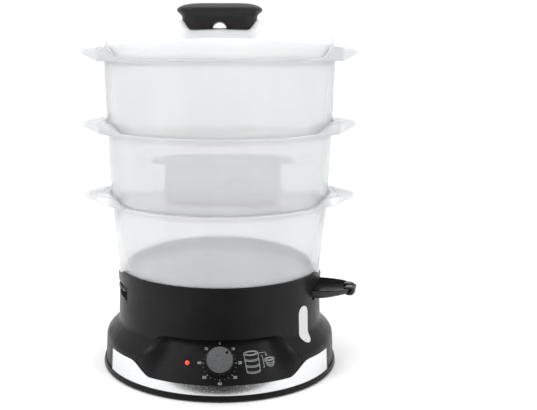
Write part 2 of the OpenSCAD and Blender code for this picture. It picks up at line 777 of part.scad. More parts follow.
module level_window() {
    color("#dfe5e6") intersection() {
        window_prism(face_gap, 90, 150);
        sector(window_az - 8, window_az + 8) polygon(skin(
            concat([for (p = outline) if (p[1] > 40) p], [[rim_r, rim_z]]), -0.3, housing_wall));
    }
}

seal_t = 1;

module heater_seal() {
    color("#b8402e") translate([0, 0, tank_z + tank_t]) difference() {
        cylinder(h = seal_t, r = heater_hole_r + plate_lap + 0.5, $fn = 96);
        translate([0, 0, -eps]) cylinder(h = seal_t + 2 * eps, r = heater_hole_r - 1, $fn = 96);
    }
}

plate_z = tank_z + tank_t + seal_t;

// Stainless plate with a raised crown
module heating_plate() {
    t = plate_t;
    r = heater_hole_r + plate_lap;
    color("#c7c9cc") translate([0, 0, plate_z]) rotate_extrude($fn = 96)
        polygon([[0, 3.4], [20, 3.4], [23, 0], [r, 0], [r, t], [23.8, t], [20.6, 3.4 + t], [0, 3.4 + t]]);
}

pad_t = 2.6;
element_z = plate_z - pad_t - element_r + 0.4;

// Tubular element with its aluminium pad and its two terminals
module heating_element() {
    color("#a8aaad") {
        translate([0, 0, plate_z - pad_t]) difference() {
            cylinder(h = pad_t, r = 34, $fn = 96);
            translate([0, 0, -eps]) cylinder(h = 8, r = 18, $fn = 96);
        }
        translate([0, 0, element_z]) rotate([0, 0, 110]) rotate_extrude(angle = 320, $fn = 96)
            translate([element_ring, 0]) circle(element_r, $fn = 32);
        for (a = [112, 68]) rotate([0, 0, a]) translate([element_ring, 0, 30])
            cylinder(h = element_z - 30 + 1, r = 1.6, $fn = 32);
    }
}

clamp_screw_az = [30, 150, 270];
clamp_screw_ring = heater_hole_r + 5;

module heater_clamp() {
    color("#8f9194") translate([0, 0, tank_z - 4 - face_gap]) difference() {
        cylinder(h = 4, r = heater_hole_r + 9, $fn = 96);
        translate([0, 0, -eps]) cylinder(h = 6, r = heater_hole_r + 0.5, $fn = 96);
        for (a = clamp_screw_az) rotate([0, 0, a]) translate([clamp_screw_ring, 0, -eps])
            cylinder(h = 6, r = 1.7, $fn = 32);
    }
}

module clamp_screws() {
    color(steel) for (a = clamp_screw_az) rotate([0, 0, a])
        translate([clamp_screw_ring, 0, tank_z - 4 - 1.8 - 2 * face_gap]) screw(3, 1.8, 1.6, 5.2);
}

module thermostat() {
    color("#e4e0d2") {
        translate([0, 0, plate_z - 12]) cylinder(h = 8, r = 9, $fn = small);
        translate([0, 0, plate_z - 4]) cylinder(h = 7.3, r = 11, $fn = small);
        for (x = [-1, 1]) translate([x * 5 - 0.4, -3, plate_z - 20]) cube([0.8, 6, 8.5]);
    }
}

module thermal_fuse() {
    color("#e9e6df") translate([0, -element_ring - 6, plate_z - pad_t - 4.6]) rotate([0, 90, 0]) {
        translate([0, 0, -12]) cylinder(h = 24, r = 2.2, $fn = 32);
        for (z = [-16, 11.5]) translate([0, 0, z]) cylinder(h = 4.5, r = 0.5, $fn = 24);
    }
    color(steel) translate([-3, -element_ring - 8.1, plate_z - pad_t - 2.8]) cube([6, 4.2, 2.75]);
}

module terminal_block() {
    color("#ece8da") difference() {
        translate([-18, 88, cover_z + cover_t]) cube([36, 16, 12]);
        for (x = [-10, 0, 10]) translate([x, 80, cover_z + cover_t + 6]) rotate([-90, 0, 0])
            cylinder(h = 30, r = 2.2, $fn = 32);
        for (x = [-10, 0, 10]) translate([x, 96, cover_z + cover_t + 6]) cylinder(h = 9, r = 1.6, $fn = 32);
    }
}

// A wire of straight runs through the given points, with a ball at each bend
module wire(points, r) {
    for (i = [0:len(points) - 2]) {
        d = points[i + 1] - points[i];
        translate(points[i]) rotate([0, acos(d[2] / norm(d)), atan2(d[1], d[0])])
            cylinder(h = norm(d), r = r, $fn = 24);
        if (i > 0) translate(points[i]) rotate([25, 35, 0]) sphere(r * 1.08, $fn = 24);
    }
}

wire_r = 1.3;
block_wire_z = cover_z + cover_t + 6;
post_x = element_ring * cos(68);
post_y = element_ring * sin(68);

module wiring() {
    w = block_wire_z;
    color("#8a3a2a") wire([[-10, 94, w], [-10, 80, w], [-16, 44, 18],
        [-post_x, post_y, 22], [-post_x, post_y, 29.9]], wire_r);
    color("#2f5f9a") wire([[10, 94, w], [10, 80, w], [16, 44, 18],
        [post_x, post_y, 22], [post_x, post_y, 29.9]], wire_r);
    color("#3f8a4a") wire([[0, 94, w], [0, 82, w], [24, 10, w - 2], [15, -103, 14.4]], wire_r);
    color("#303030") wire([[-15, -103, 14.4], [-22, -70, w + 1], [-16, -20, 16], [-5, -2, 26.6]], wire_r);
}

gland_seat_r = 8;

// Inlet bush for the supply cord, with its flange inside and its sleeve outside
module cord_gland() {
    inner = sqrt(pow(housing_r(gland_z) - housing_wall, 2) - gland_seat_r * gland_seat_r);
    color("#171717") translate([0, 0, gland_z]) rotate([-90, 0, 0]) rotate_extrude($fn = small) polygon([
            [gland_bore, inner - 2.3], [gland_seat_r + 2, inner - 2.3], [gland_seat_r + 2, inner - 0.3],
            [gland_seat_r - face_gap, inner - 0.3], [gland_seat_r - face_gap, skirt_r + 2.2],
            [gland_seat_r - 1.6, skirt_r + 3.4], [gland_bore + 1.8, gland_y - 0.6],
            [gland_bore + 1.4, gland_y], [gland_bore, gland_y]]);
}

// ---------- water fillers ----------

// Plan of a filler in its own direction: straight sides, then a tapered nose with a round tip
nose_len = 43;

function filler_plan(grow) = let (back = neck_r - 1.5 - (filler_len - nose_len) , h = filler_half + grow)
    concat([[back - grow, -h], [back + filler_len - nose_len + 4, -h]],
        [for (i = [1:7]) let (t = i / 8) [back + filler_len - nose_len + 4 + (nose_len - 8) * sin(78 * t),
            -h + (h - 9) * (1 - cos(78 * t)) * 1.2]],
        [[back + filler_len + grow, -5], [back + filler_len + grow, 5]],
        reverse([for (i = [1:7]) let (t = i / 8)
            [back + filler_len - nose_len + 4 + (nose_len - 8) * sin(78 * t), h - (h - 9) * (1 - cos(78 * t)) * 1.2]]),
        [[back + filler_len - nose_len + 4, h], [back - grow, h]]);

grip_len = 17; // of the nose that the grip covers

module filler(s, out) {
    tip = neck_r - 1.5 + nose_len;
    color("#3b3c3e") facing(s * filler_az) translate([out - filler_travel, 0, filler_z]) difference() {
        linear_extrude(height = filler_h) polygon(filler_plan(0));
        translate([0, 0, filler_wall]) linear_extrude(height = filler_h) polygon(filler_plan(-filler_wall));
        translate([tip - grip_len, -40, -eps]) cube([60, 80, filler_h + 2 * eps]);
        translate([neck_r - filler_len + nose_len - 8, -filler_half + 4, filler_wall])
            cube([12, 2 * filler_half - 8, filler_h]);
    }
}

// Black nose of a filler, with a pouring notch between its two lumps
module filler_grip(s, out) {
    tip = neck_r - 1.5 + nose_len;
    color("#0f0f10") facing(s * filler_az) translate([out - filler_travel, 0, filler_z]) difference() {
        linear_extrude(height = filler_h + 1.4) polygon(filler_plan(0));
        translate([0, 0, filler_wall]) linear_extrude(height = filler_h + 4) polygon(filler_plan(-6.5));
        translate([0, -40, -eps]) cube([tip - grip_len + face_gap, 80, filler_h + 6]);
        translate([tip - 12, -3.2, filler_wall + 4]) cube([30, 6.4, filler_h]);
    }
}

module filler_left() { filler(-1, 0); }
module filler_grip_left() { filler_grip(-1, 0); }
module filler_right() { filler(1, filler_travel); }
module filler_grip_right() { filler_grip(1, filler_travel); }

// ---------- steam insert and juice tray ----------

module turbo_ring() {
    z0 = tank_z + tank_t;
    color("#f2f2ee") difference() {
        translate([0, 0, z0]) tube_fine(turbo_r, turbo_r - 2, turbo_h);
        for (a = [0:60:300]) rotate([0, 0, a]) translate([turbo_r - 6, -7, z0 - eps]) cube([12, 14, 6 + eps]);
    }
}

module tube_fine(r_out, r_in, h) {
    difference() {
        cylinder(h = h, r = r_out, $fn = 96);
        translate([0, 0, -eps]) cylinder(h = h + 2 * eps, r = r_in, $fn = 96);
    }
}

tray_slope_z = filler_z + filler_h + filler_gap + 2.2; // clear of the fillers when they are in
chimney_z = dish_z + 13;

// The tray's flange and its slope down to the dish
module juice_tray() {
    t = tray_t;
    rim = nest_r - 0.5;
    inside = tank_r - tank_t;
    color("#d9dcdd") rotate_extrude($fn = fine) polygon([[dish_r - t, tray_slope_z],
        [dish_r - t, tray_slope_z + t], [inside - 4, ledge_z - 1], [inside - 1.2, ledge_z + t],
        [rim, ledge_z + t], [rim, ledge_z], [inside - 0.3, ledge_z], [inside - 3, ledge_z - 1 - t],
        [dish_r, tray_slope_z]]);
}

// The tray's dish, round the chimney
module juice_dish() {
    t = tray_t;
    color("#d9dcdd") rotate_extrude($fn = fine) polygon([[chimney_r - t, dish_z], [chimney_r - t, dish_z + t],
        [dish_r - t, dish_z + t], [dish_r - t, tray_slope_z], [dish_r, tray_slope_z], [dish_r, dish_z]]);
}

module steam_chimney() {
    color("#d9dcdd") translate([0, 0, dish_z + tray_t])
        tube_fine(chimney_r, chimney_r - tray_t, chimney_z - dish_z - tray_t);
}

// ---------- bowls ----------

grip_inner = 0.9; // clearance of a grip round what stands on the rim

function bowl_base_z(i) = i == 0 ? bowl_z : rims_z[i - 1];

// Radius of the ring above a bowl's foot
function step_r(i) = i == 0 ? bowl_foot_r + 0.2 : seat_r[i - 1] + 0.3;
function step_z(i) = i == 0 ? rim_z : rims_z[i - 1];

// Inner radius of a bowl's wall at a depth below its rim
function inner_r(i, depth) = seat_r[i] - bowl_t
    - (seat_r[i] - step_r(i)) * depth / (rims_z[i] - step_z(i) - bowl_t);

module grip_plan(r, shrink) {
    tip_c = grip_x - grip_tip_r;
    tip_r = grip_tip_r - shrink;
    big = r - shrink;
    b = acos((big - tip_r) / tip_c);
    circle(big, $fn = fine);
    for (s = [-1, 1]) {
        translate([s * tip_c, 0]) circle(tip_r, $fn = small);
        polygon([[s * big * cos(b), big * sin(b)], [s * (tip_c + tip_r * cos(b)), tip_r * sin(b)],
            [s * (tip_c + tip_r * cos(b)), -tip_r * sin(b)], [s * big * cos(b), -big * sin(b)]]);
    }
}

// Side view of a grip: its top slopes down to the tip, and its lower edge slopes up
module grip_side(r, low, top, inset) {
    rotate([90, 0, 0]) linear_extrude(height = 300, center = true) polygon([
        [60, low - eps * sign(inset)], [r, low - eps * sign(inset)],
        [grip_x, inset > 0 ? low - eps : top - grip_slope - grip_h], [grip_x, top - grip_slope - 1.5 - inset],
        [grip_x - 2.5, top - grip_slope - inset], [r, top - inset], [60, top - inset]]);
}

module grip_wing(r, low, top, inset) {
    intersection() {
        translate([0, 0, low - eps * sign(inset)])
            linear_extrude(height = top - low + 2 * eps) grip_plan(r, inset);
        grip_side(r, low, top, inset);
    }
}

// The two grips: hollow wings with a turned-down edge, joined to the rim by a collar
module grips(i) {
    r = seat_r[i] + rim_out;
    inner = seat_r[i] + 2.2;
    top = rims_z[i] + grip_rise[i];
    low = rims_z[i] - rim_t - 0.5;
    for (s = [0, 180]) rotate([0, 0, s]) difference() {
        intersection() {
            union() {
                difference() {
                    grip_wing(r, low, top, 0);
                    grip_wing(r, low, top, bowl_t);
                }
                difference() {
                    translate([0, 0, low]) cylinder(h = top - low, r = r, $fn = fine);
                    translate([0, 0, low - eps]) cylinder(h = 40, r = r - bowl_t, $fn = fine);
                }
            }
            translate([0, 0, low - eps]) grip_zone(r, top - low);
        }
        translate([0, 0, rims_z[i] - rim_t + eps]) cylinder(h = 40, r = inner, $fn = fine);
    }
}

// The side zone that a grip keeps to, with sloping ends
module grip_zone(r, h) {
    half = r * sin(33);
    rotate([90, 0, 90]) translate([0, 0, 60]) linear_extrude(height = 140)
        polygon([[-half - 6, 0], [half + 6, 0], [half + 6, 4], [half - 16, h + 1],
            [-half + 16, h + 1], [-half - 6, 4]]);
}

// Radial slots in rings over a bowl's floor
module steam_slots(r_max, z) {
    rings = [[0.22, 6], [0.42, 12], [0.62, 18], [0.82, 24]];
    for (g = rings, k = [0:g[1] - 1]) rotate([0, 0, 360 * k / g[1]])
        translate([g[0] * r_max, 0, z]) rounded_slot(slot_len, slot_r, 8);
}

module bowl(i) {
    t = bowl_t;
    z0 = bowl_base_z(i);
    z1 = rims_z[i];
    foot = i == 0 ? bowl_foot_r : inner_r(i - 1, skirt_d) - skirt_gap;
    foot_z0 = i == 0 ? z0 : z0 - skirt_d;
    floor_z = i == 0 ? z0 + 2.4 : z0 - 2;
    top_r = seat_r[i];
    step_r = step_r(i);
    step_z = step_z(i);
    difference() {
        union() {
            rotate_extrude($fn = fine) polygon([[foot - t, foot_z0], [foot, foot_z0], [foot, step_z],
                [step_r, step_z], [top_r, z1 - rim_t], [top_r + rim_out - 1, z1 - rim_t],
                [top_r + rim_out, z1 - rim_t + 1], [top_r + rim_out, z1 - 1], [top_r + rim_out - 1, z1],
                [top_r - t, z1], [step_r - t, step_z + t], [foot - t, step_z + t],
                [foot - t, floor_z + t], [0, floor_z + t], [0, floor_z], [foot - t, floor_z]]);
            grips(i);
        }
        steam_slots(foot - t, floor_z - 3);
    }
}

module lower_bowl() { color(clear_plastic) bowl(0); }
module middle_bowl() { color(clear_plastic) bowl(1); }
module upper_bowl() { color(clear_plastic) bowl(2); }

rice_x = 3.5;
rice_z = rims_z[0];

module rice_bowl() {
    t = rice_t;
    color("#e3ebe4") translate([rice_x, 0, rice_z]) difference() {
        union() {
            translate([0, 0, 4]) linear_extrude(height = rice_h - 4)
                rounded_rect(rice_w, rice_d, rice_corner);
            linear_extrude(height = 4.5) rounded_rect(rice_w - 6, rice_d - 6, rice_corner - 3);
            translate([0, 0, 2]) linear_extrude(height = 3)
                rounded_rect(rice_w - 2.4, rice_d - 2.4, rice_corner - 1.2);
            translate([0, 0, rice_h - 2.4]) linear_extrude(height = 2.4)
                rounded_rect(rice_w + 2 * rice_lug, rice_d + 8, rice_corner + 6);
        }
        translate([0, 0, t]) linear_extrude(height = 3)
            rounded_rect(rice_w - 6 - 2 * t, rice_d - 6 - 2 * t, rice_corner - 3 - t);
        translate([0, 0, 4.5]) linear_extrude(height = rice_h)
            rounded_rect(rice_w - 2 * t, rice_d - 2 * t, rice_corner - t);
    }
}

// ---------- lid ----------

lid_z = rims_z[2];
lid_r = seat_r[2] - 0.5;
lid_top = lid_z + lid_h;

// Turned outline of the lid, drawn in by the given amount
module lid_solid(inset) {
    big_r = 125;
    turn = lid_turn;
    c1 = [lid_r - lid_shoulder, lid_top - big_r + (big_r - lid_shoulder) * sin(turn)];
    c2 = [c1[0] - (big_r - lid_shoulder) * cos(turn), lid_top - big_r];
    low_z = lid_z - eps * sign(inset);
    rotate_extrude($fn = fine) polygon(concat([[0, low_z], [lid_r - inset, low_z]],
        arc(c1, lid_shoulder - inset, 0, turn, 8), arc(c2, big_r - inset, turn + 4, 90, 8),
        [[0, lid_top - inset]]));
}

// The hollow facets at the front and the back
module facets(drop) {
    for (s = [0, 180]) rotate([0, 0, s]) translate([0, 0, lid_top - facet_drop - drop])
        rotate([facet_tilt, 0, 0]) translate([0, 20, facet_r]) rotate([90, 0, 0]) cylinder(h = 220, r = facet_r, $fn = fine);
}

module faceted_lid(inset) {
    difference() {
        lid_solid(inset);
        facets(inset);
    }
}

handle_screw_x = 24;

module lid() {
    skirt_r0 = inner_r(2, skirt_d) - skirt_gap;
    color("#e9eef0") {
        difference() {
            faceted_lid(0);
            faceted_lid(lid_t);
            for (y = [-1, 1]) translate([0, y * 8, lid_z]) cylinder(h = 80, r = 3, $fn = small);
            for (x = [-1, 1]) translate([x * handle_screw_x, 0, lid_z]) cylinder(h = 80, r = 2.1, $fn = 32);
        }
        rotate_extrude($fn = fine) polygon([[skirt_r0 - lid_t, lid_z - skirt_d + 1],
            [skirt_r0, lid_z - skirt_d + 1], [skirt_r0, lid_z], [lid_r - 1, lid_z],
            [lid_r - 1, lid_z + lid_t], [skirt_r0 - lid_t, lid_z + lid_t]]);
    }
}

module handle_slab(w, d, z, h) {
    translate([0, 0, z]) linear_extrude(height = h) rounded_rect(w, d, min(w, d) * 0.42);
}

module lid_handle() {
    top = lid_top + handle_h;
    flare_z = top - 8.5;
    color("#2c2b2a") difference() {
        union() {
            handle_slab(neck_w, neck_d, lid_top - 16, handle_h + 4);
            hull() {
                handle_slab(neck_w, neck_d, flare_z - 5.5, 0.5);
                handle_slab(handle_w, handle_d, flare_z, 2);
            }
            hull() {
                handle_slab(handle_w, handle_d, flare_z, 2);
                handle_slab(handle_w - 10, handle_d - 10, top - 2.6, 0.2);
                handle_slab(handle_w - 32, handle_d - 24, top - 0.3, 0.3);
            }
        }
        faceted_lid(-face_gap);
        translate([0, 0, lid_top - facet_drop]) rotate([90, 0, 0])
            translate([0, -2, -40]) cylinder(h = 80, r = arch_r, $fn = small);
        for (x = [-1, 1]) translate([x * handle_screw_x, 0, lid_top - 20])
            cylinder(h = 30, r = 1.65, $fn = 32);
    }
}

module handle_screws() {
    under = lid_top - facet_drop - lid_t + handle_screw_x * handle_screw_x / (2 * facet_r);
    color(steel) for (x = [-1, 1]) translate([x * handle_screw_x, 0, under - 2.5]) screw(3.6, 1.8, 1.6, 12);
}

base_shell();
side_panel_left();
side_panel_right();
chrome_band();
bottom_cover();
rubber_feet();
cover_screws();
control_panel();
level_window();
level_duct();
water_tank();
chute_left();
chute_right();
heater_seal();
heating_plate();
heating_element();
heater_clamp();
clamp_screws();
thermostat();
thermal_fuse();
terminal_block();
wiring();
cord_gland();
pilot_lens();
pilot_lamp();
timer_case();
timer_cover();
timer_nut();
timer_bell();
timer_shaft();
drive_wheel();
knob_skirt();
knob_cap();
knob_pointer();
knob_clip();
timer_pinion();
filler_left();
filler_grip_left();
filler_right();
filler_grip_right();
turbo_ring();
juice_tray();
juice_dish();
steam_chimney();
lower_bowl();
middle_bowl();
rice_bowl();
upper_bowl();
lid();
lid_handle();
handle_screws();
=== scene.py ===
"""Looks of an electric food steamer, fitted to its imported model.

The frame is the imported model's: +Z up, the dial faces -Y. The sizes of the pieces are in
millimetres, and those of the materials and the studio in metres.
"""

import logging
import math
from dataclasses import dataclass
from enum import Enum
from typing import Callable, Sequence

import bmesh
import bpy
from mathutils import Matrix, Vector
from mathutils.bvhtree import BVHTree
from mathutils.kdtree import KDTree


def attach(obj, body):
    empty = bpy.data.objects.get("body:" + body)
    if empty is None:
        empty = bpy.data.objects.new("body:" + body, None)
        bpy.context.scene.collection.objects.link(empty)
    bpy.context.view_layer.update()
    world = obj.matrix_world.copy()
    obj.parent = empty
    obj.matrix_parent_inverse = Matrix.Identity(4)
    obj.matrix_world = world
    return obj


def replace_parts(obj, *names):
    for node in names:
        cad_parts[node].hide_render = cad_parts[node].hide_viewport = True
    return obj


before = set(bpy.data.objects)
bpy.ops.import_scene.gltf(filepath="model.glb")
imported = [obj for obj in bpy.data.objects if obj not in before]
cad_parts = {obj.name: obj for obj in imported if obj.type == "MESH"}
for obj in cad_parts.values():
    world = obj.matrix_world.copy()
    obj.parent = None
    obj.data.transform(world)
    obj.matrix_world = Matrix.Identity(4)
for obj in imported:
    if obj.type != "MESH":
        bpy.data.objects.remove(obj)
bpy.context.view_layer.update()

LOG = logging.getLogger("steamer")
MM = 0.001
WELD_M = 0.000002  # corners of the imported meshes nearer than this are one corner
WELD_MM = 0.0005  # the same for the pieces built here
SHARP_ANGLE = 40.0  # degrees from which the edges of most pieces stay sharp
UP = (0.0, 0.0, 1.0)
Colour = tuple[float, float, float]
Point = tuple[float, float]
Vector3 = tuple[float, float, float]
Level = tuple[float, float, float]
NOISE_LOW, NOISE_HIGH = 0.3, 0.7  # where nearly all of a noise's values lie
WHITE = (1.0, 1.0, 1.0)


# ---------------------------------------------------------------- materials


class Grain(Enum):
    """How the fine lines of a brushed metal run."""

    ALONG_X = (0.04, 1.0, 1.0)
    ALONG_Z = (1.0, 1.0, 0.04)


EDGE_SAMPLES = 4


class Shader:
    """A material's node tree around one Principled shader."""

    def __init__(self, name: str) -> None:
        """Makes an empty material.

        Args:
            name: the material's name.
        """
        self.material = bpy.data.materials.new(name)
        self.material.use_nodes = True
        self.tree = self.material.node_tree
        self.surface = self.tree.nodes["Principled BSDF"]
        self._place = self.tree.nodes.new("ShaderNodeTexCoord").outputs["Object"]

    def set(self, **sockets: object) -> None:
        """Sets the shader's own sockets, named with underscores for spaces."""
        for name, value in sockets.items():
            self.surface.inputs[name.replace("_", " ")].default_value = value

    def link(self, output: bpy.types.NodeSocket, socket: str) -> None:
        """Links an output to one of the shader's sockets."""
        self.tree.links.new(output, self.surface.inputs[socket])

    def scaled(self, scale: Sequence[float]) -> bpy.types.NodeSocket:
        """Scales the object's coordinates.

        Args:
            scale: the factor of each axis.

        Returns:
            The scaled coordinates.
        """
        mapping = self.tree.nodes.new("ShaderNodeMapping")
        mapping.inputs["Scale"].default_value = scale
        self.tree.links.new(self._place, mapping.inputs["Vector"])
        return mapping.outputs["Vector"]

    def noise(
        self, scale: float, detail: float = 3.0, stretch: Sequence[float] = (1.0, 1.0, 1.0)
    ) -> bpy.types.NodeSocket:
        """Makes a noise pattern on the object's coordinates.

        Args:
            scale: features per metre, roughly.
            detail: octaves of the noise.
            stretch: scale of each axis before the noise.

        Returns:
            The noise's value, about 0.3 to 0.7.
        """
        node = self.tree.nodes.new("ShaderNodeTexNoise")
        node.inputs["Scale"].default_value = scale
        node.inputs["Detail"].default_value = detail
        self.tree.links.new(self.scaled(stretch), node.inputs["Vector"])
        return node.outputs["Fac"]

    def spread(
        self,
        value: bpy.types.NodeSocket,
        low: float,
        high: float,
        start: float = NOISE_LOW,
        end: float = NOISE_HIGH,
    ) -> bpy.types.NodeSocket:
        """Maps a value's span onto another one.

        Args:
            value: the value, such as a noise's.
            low: what it becomes at the start of its span.
            high: what it becomes at the end.
            start: start of its span.
            end: end of its span.

        Returns:
            The mapped value.
        """
        node = self.tree.nodes.new("ShaderNodeMapRange")
        node.inputs["From Min"].default_value = start
        node.inputs["From Max"].default_value = end
        node.inputs["To Min"].default_value = low
        node.inputs["To Max"].default_value = high
        self.tree.links.new(value, node.inputs["Value"])
        return node.outputs["Result"]

    def beyond(self, near: float, far: float) -> bpy.types.NodeSocket:
        """Marks what lies far from the middle along X.

        Args:
            near: distance from the middle, in metres, up to which it returns 0.
            far: distance past which it returns 1.

        Returns:
            The share, from 0 to 1.
        """
        split = self.tree.nodes.new("ShaderNodeSeparateXYZ")
        self.tree.links.new(self._place, split.inputs["Vector"])
        size = self.tree.nodes.new("ShaderNodeMath")
        size.operation = "ABSOLUTE"
        self.tree.links.new(split.outputs["X"], size.inputs[0])
        return self.spread(size.outputs["Value"], 0.0, 1.0, near, far)

    def mixed(
        self, share: bpy.types.NodeSocket, first: bpy.types.NodeSocket, second: Colour
    ) -> bpy.types.NodeSocket:
        """Mixes a colour with a second one.

        Args:
            share: share of the second colour, from 0 to 1.
            first: the first colour.
            second: the second colour.

        Returns:
            The mixed colour.
        """
        node = self.tree.nodes.new("ShaderNodeMix")
        node.data_type = "RGBA"
        self.tree.links.new(share, node.inputs["Factor"])
        colour_in = [socket for socket in node.inputs if socket.type == "RGBA"]
        self.tree.links.new(first, colour_in[0])
        colour_in[1].default_value = (*second, 1.0)
        return [socket for socket in node.outputs if socket.type == "RGBA"][0]

    def blend(self, value: bpy.types.NodeSocket, dark: Colour, light: Colour) -> bpy.types.NodeSocket:
        """Maps a noise value onto the range between two colours.

        Args:
            value: the noise's value.
            dark: the colour of its low end.
            light: the colour of its high end.

        Returns:
            The colour.
        """
        ramp = self.tree.nodes.new("ShaderNodeValToRGB")
        ramp.color_ramp.elements[0].position = NOISE_LOW
        ramp.color_ramp.elements[0].color = (*dark, 1.0)
        ramp.color_ramp.elements[1].position = NOISE_HIGH
        ramp.color_ramp.elements[1].color = (*light, 1.0)
        self.tree.links.new(value, ramp.inputs["Fac"])
        return ramp.outputs["Color"]

    def relief(
        self, height: bpy.types.NodeSocket, depth: float, strength: float = 1.0, edge: float = 0.0
    ) -> None:
        """Gives the surface a bump.

        Args:
            height: the bump's height.
            depth: its depth in metres.
            strength: its share.
            edge: radius in metres of the softening of hard edges.
        """
        node = self.tree.nodes.new("ShaderNodeBump")
        node.inputs["Strength"].default_value = strength
        node.inputs["Distance"].default_value = depth
        self.tree.links.new(height, node.inputs["Height"])
        if edge > 0.0:
            soft = self.tree.nodes.new("ShaderNodeBevel")
            soft.samples = EDGE_SAMPLES
            soft.inputs["Radius"].default_value = edge
            self.tree.links.new(soft.outputs["Normal"], node.inputs["Normal"])
        self.link(node.outputs["Normal"], "Normal")


def tinted(colour: Colour, factor: float) -> Colour:
    """Returns a colour made lighter or darker by a factor."""
    return tuple(min(1.0, channel * factor) for channel in colour)


@dataclass(frozen=True)
class MouldedPlastic:
    """Opaque moulded plastic with a fine spark-eroded grain."""

    name: str
    colour: Colour
    roughness: float = 0.35
    grain: float = 1500.0
    depth: float = 0.00003
    coat: float = 0.0
    shine: float = 0.3
    edge: float = 0.0005

    def build(self) -> bpy.types.Material:
        """Builds the finish.

        Returns:
            The material.
        """
        shader = Shader(self.name)
        mottle = shader.noise(35.0, 4.0)
        shade = shader.blend(mottle, tinted(self.colour, 0.85), tinted(self.colour, 1.15))
        shader.link(shade, "Base Color")
        fine = shader.noise(self.grain, 2.0)
        wear = shader.spread(shader.noise(90.0), self.roughness - 0.05, self.roughness + 0.06)
        shader.link(wear, "Roughness")
        shader.relief(fine, self.depth, edge=self.edge)
        shader.set(Specular_IOR_Level=self.shine, Coat_Weight=self.coat, Coat_Roughness=0.12)
        return shader.material


@dataclass(frozen=True)
class ClearPlastic:
    """Clear moulded plastic with a slight milkiness and faint flow marks.

    Past grip_x, in metres from the middle, it is the thicker and greyer plastic of the grips.
    """

    name: str
    tint: Colour
    clear: float = 0.8
    roughness: float = 0.08
    bend: float = 1.15
    grip_x: float = 0.0
    grip_fade: float = 0.006
    grip_tint: Colour = (0.8, 0.81, 0.825)
    grip_clear: float = 0.35

    def build(self) -> bpy.types.Material:
        """Builds the finish.

        Returns:
            The material.
        """
        shader = Shader(self.name)
        flow = shader.noise(22.0, 2.0, (1.0, 1.0, 0.35))
        colour = shader.blend(flow, tinted(self.tint, 0.98), tinted(self.tint, 1.02))
        shader.set(Transmission_Weight=self.clear, IOR=self.bend, Specular_IOR_Level=0.5)
        if self.grip_x > 0.0:
            thick = shader.beyond(self.grip_x, self.grip_x + self.grip_fade)
            colour = shader.mixed(thick, colour, self.grip_tint)
            clear = shader.spread(thick, self.clear, self.grip_clear, 0.0, 1.0)
            shader.link(clear, "Transmission Weight")
        shader.link(colour, "Base Color")
        wear = shader.spread(shader.noise(60.0), self.roughness, self.roughness + 0.05)
        shader.link(wear, "Roughness")
        shader.relief(shader.noise(45.0, 1.0), 0.0001, 0.5)
        return shader.material


@dataclass(frozen=True)
class BrushedMetal:
    """Metal with fine parallel lines."""

    name: str
    colour: Colour
    roughness: float = 0.28
    grain: Grain = Grain.ALONG_X
    lines: float = 2200.0

    def build(self) -> bpy.types.Material:
        """Builds the finish.

        Returns:
            The material.
        """
        shader = Shader(self.name)
        streaks = shader.noise(self.lines, 2.0, self.grain.value)
        shade = shader.blend(streaks, tinted(self.colour, 0.88), tinted(self.colour, 1.06))
        shader.link(shade, "Base Color")
        wear = shader.spread(streaks, self.roughness - 0.06, self.roughness + 0.08)
        shader.link(wear, "Roughness")
        shader.relief(streaks, 0.00001)
        shader.set(Metallic=1.0)
        return shader.material


@dataclass(frozen=True)
class Rubber:
    """Dull rubber with a dusty, uneven surface."""

    name: str
    colour: Colour

    def build(self) -> bpy.types.Material:
        """Builds the finish.

        Returns:
            The material.
        """
        shader = Shader(self.name)
        dust = shader.noise(60.0, 5.0)
        shade = shader.blend(dust, tinted(self.colour, 0.8), tinted(self.colour, 1.5))
        shader.link(shade, "Base Color")
        shader.link(shader.spread(shader.noise(200.0), 0.7, 0.85), "Roughness")
        shader.relief(shader.noise(900.0), 0.00004)
        return shader.material


@dataclass(frozen=True)
class GlowingLens:
    """Coloured lens that is lit from behind."""

    name: str
    colour: Colour
    glow: float

    def build(self) -> bpy.types.Material:
        """Builds the finish.

        Returns:
            The material.
        """
        shader = Shader(self.name)
        shade = shader.blend(shader.noise(700.0), tinted(self.colour, 0.8), tinted(self.colour, 1.1))
        shader.link(shade, "Base Color")
        shader.link(shader.spread(shader.noise(500.0), 0.1, 0.2), "Roughness")
        shader.link(shade, "Emission Color")
        shader.set(Emission_Strength=self.glow, Coat_Weight=0.6)
        return shader.material


@dataclass(frozen=True)
class PrintedInk:
    """Screen-printed ink, a little uneven."""

    name: str
    colour: Colour

    def build(self) -> bpy.types.Material:
        """Builds the finish.

        Returns:
            The material.
        """
        shader = Shader(self.name)
        mesh_marks = shader.noise(1800.0)
        shade = shader.blend(mesh_marks, tinted(self.colour, 0.9), tinted(self.colour, 1.05))
        shader.link(shade, "Base Color")
        shader.link(shader.spread(shader.noise(900.0), 0.4, 0.55), "Roughness")
        return shader.material


Finish = MouldedPlastic | ClearPlastic | BrushedMetal | Rubber | GlowingLens | PrintedInk

